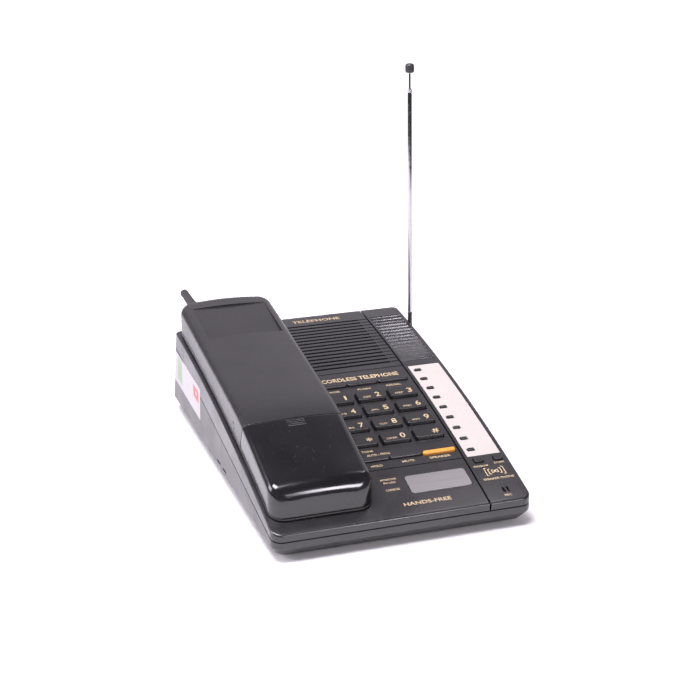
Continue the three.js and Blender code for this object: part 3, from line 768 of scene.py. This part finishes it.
def hand_ring(y, inset):
    """One upright cross-section of the handset's body."""
    arc_steps, crown_steps = 8, 6
    from_end = min(y - HAND_FRONT, HAND_BACK - y) - inset
    corner = HAND_CORNER - inset
    tuck = end_drop(max(from_end, 0), corner)
    left = HAND_LEFT + inset + tuck
    right = HAND_RIGHT - inset - tuck
    radius = max(SHOULDER - inset, 1.5)
    drop = end_drop(max(y - HAND_FRONT - inset, 0), FRONT_ROUNDING - inset)
    drop += end_drop(max(HAND_BACK - y - inset, 0), max(BACK_ROUNDING - inset, 1))
    top = ridge(y) - inset - drop
    middle = (left + right) / 2
    half = (right - left) / 2
    points = [(left, y, 0), (right, y, 0)]
    shoulder = top - CROWN
    right_arc = []
    left_arc = []
    for i in range(arc_steps + 1):
        angle = math.radians(90 * i / arc_steps)
        height = shoulder - radius + radius * math.sin(angle)
        right_arc.append((right - radius + radius * math.cos(angle), y, height))
        left_arc.append((left + radius - radius * math.cos(angle), y, height))
    points += right_arc
    for i in range(1, crown_steps):
        x = (right - radius) + (left - right + 2 * radius) * i / crown_steps
        across = (x - middle) / (half - radius)
        points.append((x, y, shoulder + CROWN * (1 - across * across)))
    points += reversed(left_arc)
    return points


def hand_stations(inset):
    """Where the handset's cross-sections stand, closer together at its rounded ends."""
    front = HAND_FRONT + inset
    back = HAND_BACK - inset
    radius = HAND_CORNER - inset
    spacing = 4
    near = [radius * (1 - math.cos(math.radians(a))) for a in range(0, 91, 9)]
    stations = [front + d for d in near]
    y = front + radius + spacing
    while y < back - radius - 3:
        stations.append(y)
        y += spacing
    stations += [back - d for d in reversed(near)]
    return stations


def hand_block(inset):
    return loft([hand_ring(y, inset) for y in hand_stations(inset)])


def hand_region(lower, upper, steps=24, back=HAND_BACK + 5):
    """A layer between two height curves that reaches past the handset on every side."""
    return slab(HAND_LEFT - 5, HAND_RIGHT + 5, HAND_FRONT - 5, back, lower, upper, steps)


def over_parting(y):
    return hand_parting(y) + GAP / 2


def under_parting(y):
    return hand_parting(y) - GAP / 2


def side_of_seam(side):
    """A block that holds all of the handset behind the cover's seam (side 1) or in front of it (-1)."""
    far = HAND_BACK + 5 if side > 0 else HAND_FRONT - 5
    seam = [(COVER_SEAM - SEAM_LEAN * height + side * GAP / 2, height) for height in (0, HIGH)]
    outline = [seam[0], (far, 0), (far, HIGH), seam[1]]
    return loft([[(x, y, height) for y, height in outline] for x in (HAND_LEFT - 5, HAND_RIGHT + 5)])


def round_cut_edges(obj, width=0.25):
    """Rounds the outer edges of a case where it was cut from the whole handset."""

    def outside(edge):
        point = middle_of(edge)
        at_side = min(abs(point.x - HAND_LEFT), abs(point.x - HAND_RIGHT)) < 0.4
        at_end = min(abs(point.y - HAND_FRONT), abs(point.y - HAND_BACK)) < 0.4
        at_top = height_over(ridge, edge) > -CROWN - SHOULDER - 1
        return at_side or at_end or at_top

    return bevel(obj, width, 2, outside)


RECESS = {"left": -69.6, "right": -20.6, "front": 58, "back": 101.2, "front_depth": 3, "back_depth": 1.2}
THUMB_RIBS = {"count": 4, "back": -50.2, "pitch": 1.5, "length": 11, "width": 0.8}
SIDE_HOLES = ((-26.6, 47), (-28, 44))  # front and bottom of each, in the handset's left wall
RECEIVER_SLOTS = {"count": 7, "front": 72, "pitch": 2.6, "length": 18, "width": 1.2}
MOUTH_SLOTS = {"places": (-4, -0.6, 2.8), "width": 1.2, "front": -86, "back": -80}


def ridge_plus(offset):
    return lambda y: ridge(y) + offset


def recess_floor(y, below=0):
    t = (y - RECESS["front"]) / (RECESS["back"] - RECESS["front"])
    return ridge(y) - RECESS["front_depth"] - (RECESS["back_depth"] - RECESS["front_depth"]) * t - below


def make_handset_back():
    shell = boolean(hand_block(0), hand_region(over_parting, level(HIGH)), "INTERSECT")
    boolean(shell, side_of_seam(1), "INTERSECT")
    round_cut_edges(shell)
    boolean(shell, hand_block(HAND_WALL))
    around_recess = slab(*grown(RECESS, 1.5), lambda y: recess_floor(y, 1.6), ridge_plus(-0.5), 4)
    thick = boolean(hand_block(1), around_recess, "INTERSECT")
    boolean(shell, thick, "UNION")
    hollow = prism(rounded_rect(*grown(RECESS, 0), 0.8, 3), 30, HIGH)
    boolean(hollow, slab(*grown(RECESS, 2), recess_floor, level(HIGH), 2), "INTERSECT")
    cut(shell, hollow)
    notch_right, notch_front = RECESS["right"] - 0.4, RECESS["front"] + 0.6
    notch = block(notch_right - 3, notch_right, notch_front, notch_front + 3.4, 60, 90)
    boolean(notch, slab(-90, 0, 40, 80, lambda y: recess_floor(y, 1.1), level(100), 2), "INTERSECT")
    cut(shell, notch)
    holes = []
    for front, bottom in SIDE_HOLES:
        holes.append(block(HAND_LEFT - 1, HAND_LEFT + 1.2, front, front + 1.4, bottom, bottom + 2))
    cut(shell, join(holes))
    finish(shell, "handset_back_shell", "handset", "hand", ["handset_back_case"])


def make_battery_cover():
    shell = boolean(hand_block(0), hand_region(over_parting, level(HIGH), back=0), "INTERSECT")
    boolean(shell, side_of_seam(-1), "INTERSECT")
    round_cut_edges(shell, 0.5)
    boolean(shell, hand_block(HAND_WALL))
    ribs = []
    for i in range(THUMB_RIBS["count"]):
        y = THUMB_RIBS["back"] - THUMB_RIBS["pitch"] * i
        sides = centred(HAND_MIDDLE, y, THUMB_RIBS["length"], THUMB_RIBS["width"])
        rib = slab(*sides, ridge_plus(-1), ridge_plus(0.4), 1)
        bevel(rib, 0.25, 2, lambda edge: height_over(ridge, edge) > -0.2)
        ribs.append(rib)
    boolean(shell, join(ribs), "UNION")
    finish(shell, "battery_cover_shell", "battery_cover", "cover", ["battery_cover"])


def hand_outline(inset):
    sides = (HAND_LEFT + inset, HAND_RIGHT - inset, HAND_FRONT + inset, HAND_BACK - inset)
    return rounded_rect(*sides, HAND_CORNER - inset, 10)


def make_handset_front():
    whole = prism(hand_outline(0), 0, 90)
    tray = boolean(whole, hand_region(top_plus(HAND_LIFT), under_parting, 36), "INTERSECT")
    bevel(tray, 0.5, 2, lambda edge: True)
    room = 1.3
    for front, back, _ in (MOUTH_WELL, EAR_WELL):
        sides = (CRADLE_LEFT + room, CRADLE_RIGHT - room, front + room, back - room)
        lump = slab(*sides, top_plus(-5.2), top_plus(HAND_LIFT + 1))
        bevel(lump, 1.2, 3, lambda edge: height_over(top_height, edge) < 0.3)
        boolean(tray, lump, "UNION")
    inside = hand_region(top_plus(HAND_LIFT + 1.6), top_plus(30))
    cut(tray, boolean(prism(hand_outline(HAND_WALL), 0, 90), inside, "INTERSECT"))
    low, high = node_box("handset_keypad")
    border = 4
    window = block(low.x + border, high.x - border, low.y + border, high.y - border, 0, 90)
    cut(tray, window)
    slots = []
    for i in range(RECEIVER_SLOTS["count"]):
        y = RECEIVER_SLOTS["front"] + RECEIVER_SLOTS["pitch"] * i
        sides = centred(HAND_MIDDLE, y, RECEIVER_SLOTS["length"], RECEIVER_SLOTS["width"])
        slots.append(prism(rounded_rect(*sides, 0.5, 3), 20, 70))
    cut(tray, join(slots))
    mouth = []
    for place in MOUTH_SLOTS["places"]:
        left = HAND_MIDDLE + place
        sides = (left, left + MOUTH_SLOTS["width"], MOUTH_SLOTS["front"], MOUTH_SLOTS["back"])
        mouth.append(prism(rounded_rect(*sides, 0.5, 3), 0, 60))
    cut(tray, join(mouth))
    finish(tray, "handset_front_shell", "handset", "hand", ["handset_front_case"])


# ---------- printing


PRINT_THICKNESS = 0.05


def flat_text(text, width, height, weight=0.0):
    """Lettering as a thin solid, centred on the origin, scaled to a width and a height."""
    curve = bpy.data.curves.new("text", "FONT")
    curve.body = text
    curve.resolution_u = 3
    curve.align_x = "CENTER"
    curve.extrude = 0.5
    curve.offset = weight
    holder = bpy.data.objects.new("text", curve)
    bpy.context.scene.collection.objects.link(holder)
    graph = bpy.context.evaluated_depsgraph_get()
    mesh = bpy.data.meshes.new_from_object(holder.evaluated_get(graph))
    bpy.data.objects.remove(holder)
    bpy.data.curves.remove(curve)
    letters = bpy.data.objects.new("letters", mesh)
    bpy.context.scene.collection.objects.link(letters)
    xs = [v.co.x for v in mesh.vertices]
    ys = [v.co.y for v in mesh.vertices]
    centre = ((min(xs) + max(xs)) / 2, (min(ys) + max(ys)) / 2)
    scale = (width / (max(xs) - min(xs)), height / (max(ys) - min(ys)), PRINT_THICKNESS, 1)
    size = Matrix.Diagonal(scale)
    return move(letters, size @ Matrix.Translation((-centre[0], -centre[1], 0.5)))


# Text, middle x and y on the top, width and height.
LEGENDS = [
    ("PAUSE", -2.2, 8.4, 8, 1.9),
    ("FLASH", 17.7, 8.0, 8.4, 1.9),
    ("REDIAL", 37.9, 8.6, 9.8, 1.9),
    ("CORDLESS TELEPHONE", 19.6, 21.4, 51.8, 4.2),
    ("TELEPHONE", 17.5, 107, 33.6, 3.6),
    ("TONE", -2.8, -56.3, 7.4, 1.9),
    ("AUTO / PROG", 2.9, -60.2, 14.6, 1.9),
    ("HOLD", -1.6, -70.3, 7.2, 1.9),
    ("MUTE", 18.5, -69.7, 7.6, 1.9),
    ("SPEAKER", 38.7, -69.8, 13.4, 1.9),
    ("INTERCOM", 0.5, -83.4, 9.5, 1.6),
    ("IN USE", 0.5, -86.2, 7.4, 1.6),
    ("CHARGE", 0.4, -92.4, 8.6, 1.7),
    ("HANDS-FREE", 16.8, -105.8, 29.2, 2.9),
    ("PROGRAM", 59.4, -83.5, 9, 1.6),
    ("STORE", 71.6, -82.3, 6.5, 1.6),
    ("SPEAKER PHONE", 65.9, -95.5, 19.3, 1.8),
    ("MIC", 65.5, -110.4, 4.4, 1.7),
]

KEY_LETTERS = {
    "2": "ABC", "3": "DEF",
    "4": "GHI", "5": "JKL", "6": "MNO",
    "7": "PRS", "8": "TUV", "9": "WXY",
    "0": "OPER",
}
# Text, width and height on the keys whose sign isn't a digit of the usual size.
KEY_SIGNS = {"star": ("*", 3.8, 3.8), "hash": ("#", 4.0, 4.2), "1": ("1", 1.2, 4.8)}
DIGIT_SIZE = (3.2, 4.8)
DIGIT_PLACE = (4.5, -0.6, 0)
LETTER_PLACE = (-2.9, -2.2, 0)


def sound_icon():
    """Three nested brackets on each side of a dot: sound going out."""
    stroke = 0.5
    strokes = []
    for i, reach in enumerate((2.2, 4.2, 6.2)):
        half_height = 1.4 + 1.1 * i
        for side in (-1, 1):
            near, far = sorted((side * reach, side * (reach - 0.55)))
            strokes.append(block(near, far, -half_height, half_height, 0, PRINT_THICKNESS))
            end_near, end_far = sorted((side * reach, side * (reach - 1.5)))
            for bottom in (-half_height, half_height - stroke):
                strokes.append(block(end_near, end_far, bottom, bottom + stroke, 0, PRINT_THICKNESS + 0.01))
    strokes.append(cylinder(0.9, 0, PRINT_THICKNESS))
    return join(strokes)


def make_legends():
    pieces = []
    for text, x, y, width, height in LEGENDS:
        weight = 0.022 if height > 4 else 0.01
        pieces.append(move(flat_text(text, width, height, weight), on_top(x, y, 0.03)))
    pieces.append(move(sound_icon(), on_top(66, -89.3, 0.03)))
    finish(join(pieces), "base_legends", "base", "print")
    for name, kind in KEY_KINDS.items():
        if kind is not DIAL:
            continue
        face = name.replace("dial_key_", "")
        text, width, height = KEY_SIGNS.get(face, (face, *DIGIT_SIZE))
        marks = [move(flat_text(text, width, height, 0.008), Matrix.Translation(DIGIT_PLACE))]
        if face in KEY_LETTERS:
            letters = KEY_LETTERS[face]
            small = flat_text(letters, 1.75 * len(letters), 1.8)
            marks.append(move(small, Matrix.Translation(LETTER_PLACE)))
        marks = move(join(marks), on_top(*key_place(name), kind["rise"] + 0.02))
        finish(marks, name + "_legend", name, "print")


def side_patch(outline, inner, outer):
    """A thin flat patch on the left wall, from an outline of (y, height) points."""
    return loft([[(x, y, height) for y, height in outline] for x in (outer, inner)])


def make_side_label():
    """A blank paper label on the left wall, with a green bar and a small red square."""
    paper = side_patch([(115, 44), (47, 41.4), (49.5, 19.5), (119.5, 22)], LEFT, LEFT - 0.15)
    finish(paper, "side_label", "base", "label")
    bar = side_patch([(109.5, 42.9), (97.5, 42.4), (98.3, 25.4), (110.8, 25.8)], LEFT - 0.15, LEFT - 0.2)
    finish(bar, "side_label_bar", "base", "label_green")
    square = side_patch([(66, 38.5), (52, 37.8), (52.5, 30), (66.5, 30.6)], LEFT - 0.15, LEFT - 0.2)
    hole = block(LEFT - 1, LEFT + 1, 57, 61.4, 33, 35.6)
    finish(cut(square, hole), "side_label_square", "base", "label_red")


# ---------- aerials, feet and sockets

AERIAL_X = 80.6
AERIAL_LEAN = math.radians(2.2)
ON_SIDE = Matrix.Rotation(math.radians(90), 4, "Y")
TURNED_SMOOTHING = 40
# Heights above the aerial's pivot.
STEM_TOP = 13
OUTER_TOP = 166
MIDDLE_TOP = 166.6
ROD_TOP = 176.6
TIP_TOP = 183


def make_aerial():
    mast = Matrix.Translation((AERIAL_X, AERIAL_Y, PIVOT_HEIGHT)) @ Matrix.Rotation(-AERIAL_LEAN, 4, "X")
    outer_bottom = STEM_TOP + GAP

    def stand(profile, name, body, look, node, bore=None):
        finish(move(lathe(profile, 32, bore), mast), name, body, look, [node], TURNED_SMOOTHING)

    disc = lathe([(2.9, -1.3), (3.3, -1.2), (3.5, -0.9), (3.5, 0.9), (3.3, 1.2), (2.9, 1.3)])
    move(disc, ON_SIDE)
    screw = move(lathe([(1.7, 1.2), (1.7, 1.42), (1.4, 1.5), (0.4, 1.5)], 24), ON_SIDE)
    stem = lathe([(1.5, 0), (1.5, 9), (1.35, 10), (1.5, 11), (1.5, STEM_TOP - 0.3), (1.2, STEM_TOP)])
    foot = boolean(disc, stem, "UNION")
    boolean(foot, screw, "UNION")
    move(foot, mast)
    slot = "black_metal"
    finish(foot, "aerial_foot_turned", "aerial_mast", slot, ["aerial_foot"], TURNED_SMOOTHING)
    outer = [(1.2, outer_bottom), (1.4, outer_bottom + 0.3), (1.4, OUTER_TOP - 3), (1.3, OUTER_TOP - 2.4)]
    outer += [(1.3, OUTER_TOP - 1.8), (1.4, OUTER_TOP - 1.2), (1.4, OUTER_TOP - 0.3), (1.2, OUTER_TOP)]
    bore = (1.1, outer_bottom + 1)
    stand(outer, "aerial_outer", "aerial_mast", "chrome", "aerial_outer_tube", bore)
    middle = [(0.8, outer_bottom + 2), (0.95, outer_bottom + 2.2)]
    middle += [(0.95, MIDDLE_TOP - 0.2), (0.85, MIDDLE_TOP)]
    bore = (0.75, outer_bottom + 3)
    stand(middle, "aerial_middle", "aerial_middle", "chrome", "aerial_middle_tube", bore)
    rod = [(0.5, outer_bottom + 14), (0.6, outer_bottom + 14.2), (0.6, ROD_TOP)]
    stand(rod, "aerial_inner_rod", "aerial_top", "chrome", "aerial_rod")
    tip_bottom = ROD_TOP + GAP
    tip = [(1.2, tip_bottom), (2.4, tip_bottom + 0.2), (2.9, tip_bottom + 0.9), (2.9, TIP_TOP - 1.6)]
    tip += [(2.75, TIP_TOP - 0.9), (2.2, TIP_TOP - 0.3), (1.2, TIP_TOP)]
    stand(tip, "aerial_cap", "aerial_top", "black", "aerial_tip")
    low, high = node_box("aerial_boss")
    length = high.x - low.x
    boss = lathe([(4, 0), (4, length - 0.6), (3.8, length - 0.2), (3.4, length)])
    move(boss, Matrix.Translation((low.x, AERIAL_Y, PIVOT_HEIGHT)) @ ON_SIDE)
    finish(boss, "aerial_boss_turned", "base", "black", ["aerial_boss"], TURNED_SMOOTHING)


# The handset's own antenna: its height, its rise towards its end, and the radius and reach of its parts.
STUB_HEIGHT = 73.4
STUB_SLOPE = 0.03
COLLAR_RADIUS = 3.8
STUB_TIP = {"radius": 2.7, "start": 29.4, "length": 2.6}


def make_handset_antenna():
    """A short rubber-covered stub with a moulded collar, pointing straight back."""
    slope = math.atan(STUB_SLOPE)
    low, high = node_box("handset_antenna")
    start = HAND_BACK + GAP + COLLAR_RADIUS * math.sin(slope)
    place = Matrix.Translation(((low.x + high.x) / 2, start, STUB_HEIGHT))
    place = place @ Matrix.Rotation(slope - math.radians(90), 4, "X")
    profile = [(3.6, 0), (COLLAR_RADIUS, 0.3), (COLLAR_RADIUS, 2.6), (3.4, 3), (3, 3.3)]
    profile += [(2.8, 16), (2.55, 27), (STUB_TIP["radius"], 27.4)]
    for degrees in range(0, 91, 15):
        angle = math.radians(degrees)
        radius = STUB_TIP["radius"] * math.cos(angle)
        profile.append((radius, STUB_TIP["start"] + STUB_TIP["length"] * math.sin(angle)))
    stub = move(lathe(profile), place)
    nodes = ["handset_antenna"]
    finish(stub, "handset_antenna_cover", "handset", "rubber", nodes, TURNED_SMOOTHING)


def make_feet():
    for name in ("foot_front_left", "foot_front_right", "foot_back_left", "foot_back_right"):
        low, high = node_box(name)
        radius = (high.x - low.x) / 2
        profile = [(radius - 0.7, low.z), (radius - 0.2, low.z + 0.2)]
        profile += [(radius, low.z + 0.7), (radius, high.z)]
        foot = move(lathe(profile), Matrix.Translation(((low.x + high.x) / 2, (low.y + high.y) / 2, 0)))
        finish(foot, name + "_pad", "base", "rubber", [name], TURNED_SMOOTHING)


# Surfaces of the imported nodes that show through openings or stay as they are.
KEPT_NODES = {
    "line_jack": "black",
    "power_jack": "black",
    "key_mat": "rubber",
    "charge_contact_left": "brass",
    "charge_contact_right": "brass",
    "base_circuit_board": "board",
    "loudspeaker": "black",
    "base_microphone": "steel",
    "battery_pack": "wrap",
    "handset_keypad": "rubber",
    "handset_board": "board",
    "handset_receiver": "steel",
}


def dress_kept_nodes():
    for name, look in KEPT_NODES.items():
        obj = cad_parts[name]
        obj.data.materials.clear()
        obj.data.materials.append(LOOK[look])
        rounding = obj.modifiers.new("rounded_edges", "BEVEL")
        rounding.width = 0.25 * MM
        rounding.segments = 2
        rounding.limit_method = "ANGLE"
        rounding.angle_limit = math.radians(40)


def make_handset_keys():
    """Twelve dialling keys and three wider keys on the handset's face, seen when it is lifted."""
    low, high = node_box("handset_keypad")
    middle = (low.x + high.x) / 2
    keys = []
    for row in range(4):
        for column in (-1, 0, 1):
            keys.append((middle + 11 * column, -8 - 12 * row, 8, 6))
    keys += [(middle - 8, 12, 12, 5), (middle + 8, 12, 12, 5), (middle, 26, 24, 5)]
    pads = []
    for x, y, width, depth in keys:
        pad = prism(rounded_rect(*centred(x, y, width, depth), 1.2, 4), 0, 90)
        within = slab(*centred(x, y, 2 * width, 2 * depth), top_plus(0.65), top_plus(1.2), 6)
        pads.append(boolean(pad, within, "INTERSECT"))
    finish(join(pads), "handset_keys", "handset", "key")


def run():
    make_keys()
    make_base_upper_case()
    make_memory_panel()
    make_panel_ridges()
    make_base_lower_case()
    make_card_and_plate()
    make_handset_back()
    make_battery_cover()
    make_handset_front()
    make_handset_keys()
    make_legends()
    make_side_label()
    make_aerial()
    make_handset_antenna()
    make_feet()
    dress_kept_nodes()


run()

# ---------- camera, floor and light


CAMERA_AZIMUTH = math.radians(-18.84)
CAMERA_ELEVATION = math.radians(20.68)
CAMERA_DISTANCE = 1033.2
CAMERA_AIM = Vector((13.1, 22.0, 66.4))
CAMERA_LENS = 83.71

FLOOR_RADIUS = 0.75  # metres
GLOW_START, GLOW_STRENGTH = 0.4, 0.6  # the floor's own light, from here out and at its rim
LIGHT_COLOUR = (1.0, 0.94, 1.03)
# Name, direction from the telephone, distance and size in metres, and power in watts.
LIGHTS = [
    ("key", (0.30, -0.85, 0.43), 1.6, (0.45, 0.32), 8),
    ("overhead", (-0.24, -0.12, 0.96), 1.2, (0.6, 0.6), 22),
    ("left", (-0.85, 0.15, 0.50), 1.3, (0.9, 0.6), 12),
    ("small_lamp", (0.236, 0.08, 0.49), 0.55, (0.03, 0.03), 0.16),
]
# The room's brightness by the height of the direction looked in, away from the backdrop and on it.
ROOM = [(-0.05, 0.06), (0.05, 0.22), (0.5, 0.16), (0.8, 0.12), (1, 0.11)]
BACKDROP = [(0, 0.85), (0.5, 0.74), (0.64, 0.70), (0.72, 0.42), (0.8, 0.17), (1, 0.11)]
BACKDROP_DIRECTION = (0.323, 0.946)
BACKDROP_EDGE = (0.64, 0.82)  # cosine of the angle from its middle where it starts and where it is full
BEHIND_ALL = (1.2, 1.2, 1.2, 1)  # the white that the camera sees past the floor


def set_camera():
    azimuth, elevation = CAMERA_AZIMUTH, CAMERA_ELEVATION
    level_part = math.cos(elevation)
    back = Vector((math.sin(azimuth) * level_part, -math.cos(azimuth) * level_part, math.sin(elevation)))
    data = bpy.data.cameras.new("camera")
    data.lens = CAMERA_LENS
    data.sensor_width = 36
    data.clip_start = 0.01
    camera = bpy.data.objects.new("camera", data)
    bpy.context.scene.collection.objects.link(camera)
    camera.location = DESK @ (CAMERA_AIM + back * CAMERA_DISTANCE)
    camera.rotation_euler = (math.pi / 2 - elevation, 0, azimuth)
    bpy.context.scene.camera = camera


def set_stage():
    bpy.context.scene.view_settings.view_transform = "Standard"
    set_camera()
    edge = [math.radians(3 * i) for i in range(120)]
    rim = [(FLOOR_RADIUS * math.cos(a), FLOOR_RADIUS * math.sin(a), 0) for a in edge]
    floor = mesh_object("floor", rim, [tuple(range(len(rim)))])
    floor.data.materials.append(floor_material())
    set_world()
    for light in LIGHTS:
        softbox(*light)


def floor_material():
    """White, with a little light of its own far from the telephone, where the lamps fall off."""
    white = Material("floor_white", (0.90, 0.90, 0.90), 0.8)
    distance = white.nodes.new("ShaderNodeVectorMath")
    distance.operation = "LENGTH"
    white.links.new(white.coords, distance.inputs[0])
    glow = white.remap(distance.outputs["Value"], GLOW_START, FLOOR_RADIUS, 0, GLOW_STRENGTH)
    white.shader.inputs["Emission Color"].default_value = (1, 1, 1, 1)
    white.links.new(glow, white.shader.inputs["Emission Strength"])
    return white.material


def softbox(name, direction, distance, size, power):
    """A rectangular light that faces the middle of the telephone."""
    direction = Vector(direction)
    light = bpy.data.lights.new(name, "AREA")
    light.shape = "RECTANGLE"
    light.size, light.size_y = size
    light.energy = power
    light.color = LIGHT_COLOUR
    obj = bpy.data.objects.new(name, light)
    bpy.context.scene.collection.objects.link(obj)
    obj.location = direction.normalized() * distance + Vector((0, 0, 0.03))
    obj.rotation_euler = direction.to_track_quat("Z", "Y").to_euler()


def set_world():
    """A dim room with one broad pale backdrop behind the telephone."""
    world = bpy.data.worlds.new("studio")
    bpy.context.scene.world = world
    world.use_nodes = True
    tree = world.node_tree
    nodes, links = tree.nodes, tree.links

    def maths(operation, *values):
        return math_node(tree, operation, *values)

    def by_height(height, stops):
        ramp = nodes.new("ShaderNodeValToRGB")
        links.new(maths("MULTIPLY", maths("ADD", height, 1), 0.5), ramp.inputs["Fac"])
        elements = ramp.color_ramp.elements
        while len(elements) < len(stops):
            elements.new(0.5)
        for element, (position, value) in zip(elements, stops):
            element.position = (position + 1) / 2
            element.color = (*(value * part for part in LIGHT_COLOUR), 1)
        return ramp.outputs["Color"]

    coords = nodes.new("ShaderNodeTexCoord")
    split = nodes.new("ShaderNodeSeparateXYZ")
    links.new(coords.outputs["Generated"], split.inputs["Vector"])
    x, y, z = split.outputs
    across, away = BACKDROP_DIRECTION
    ahead = maths("ADD", maths("MULTIPLY", x, across), maths("MULTIPLY", y, away))
    level_part = maths("SQRT", maths("SUBTRACT", 1.0001, maths("MULTIPLY", z, z)))
    facing = map_range(tree, maths("DIVIDE", ahead, level_part), *BACKDROP_EDGE)
    surroundings = mix_colours(tree, facing, by_height(z, ROOM), by_height(z, BACKDROP))
    in_camera = nodes.new("ShaderNodeLightPath").outputs["Is Camera Ray"]
    seen = mix_colours(tree, in_camera, surroundings, BEHIND_ALL)
    links.new(seen, nodes["Background"].inputs["Color"])


set_stage()
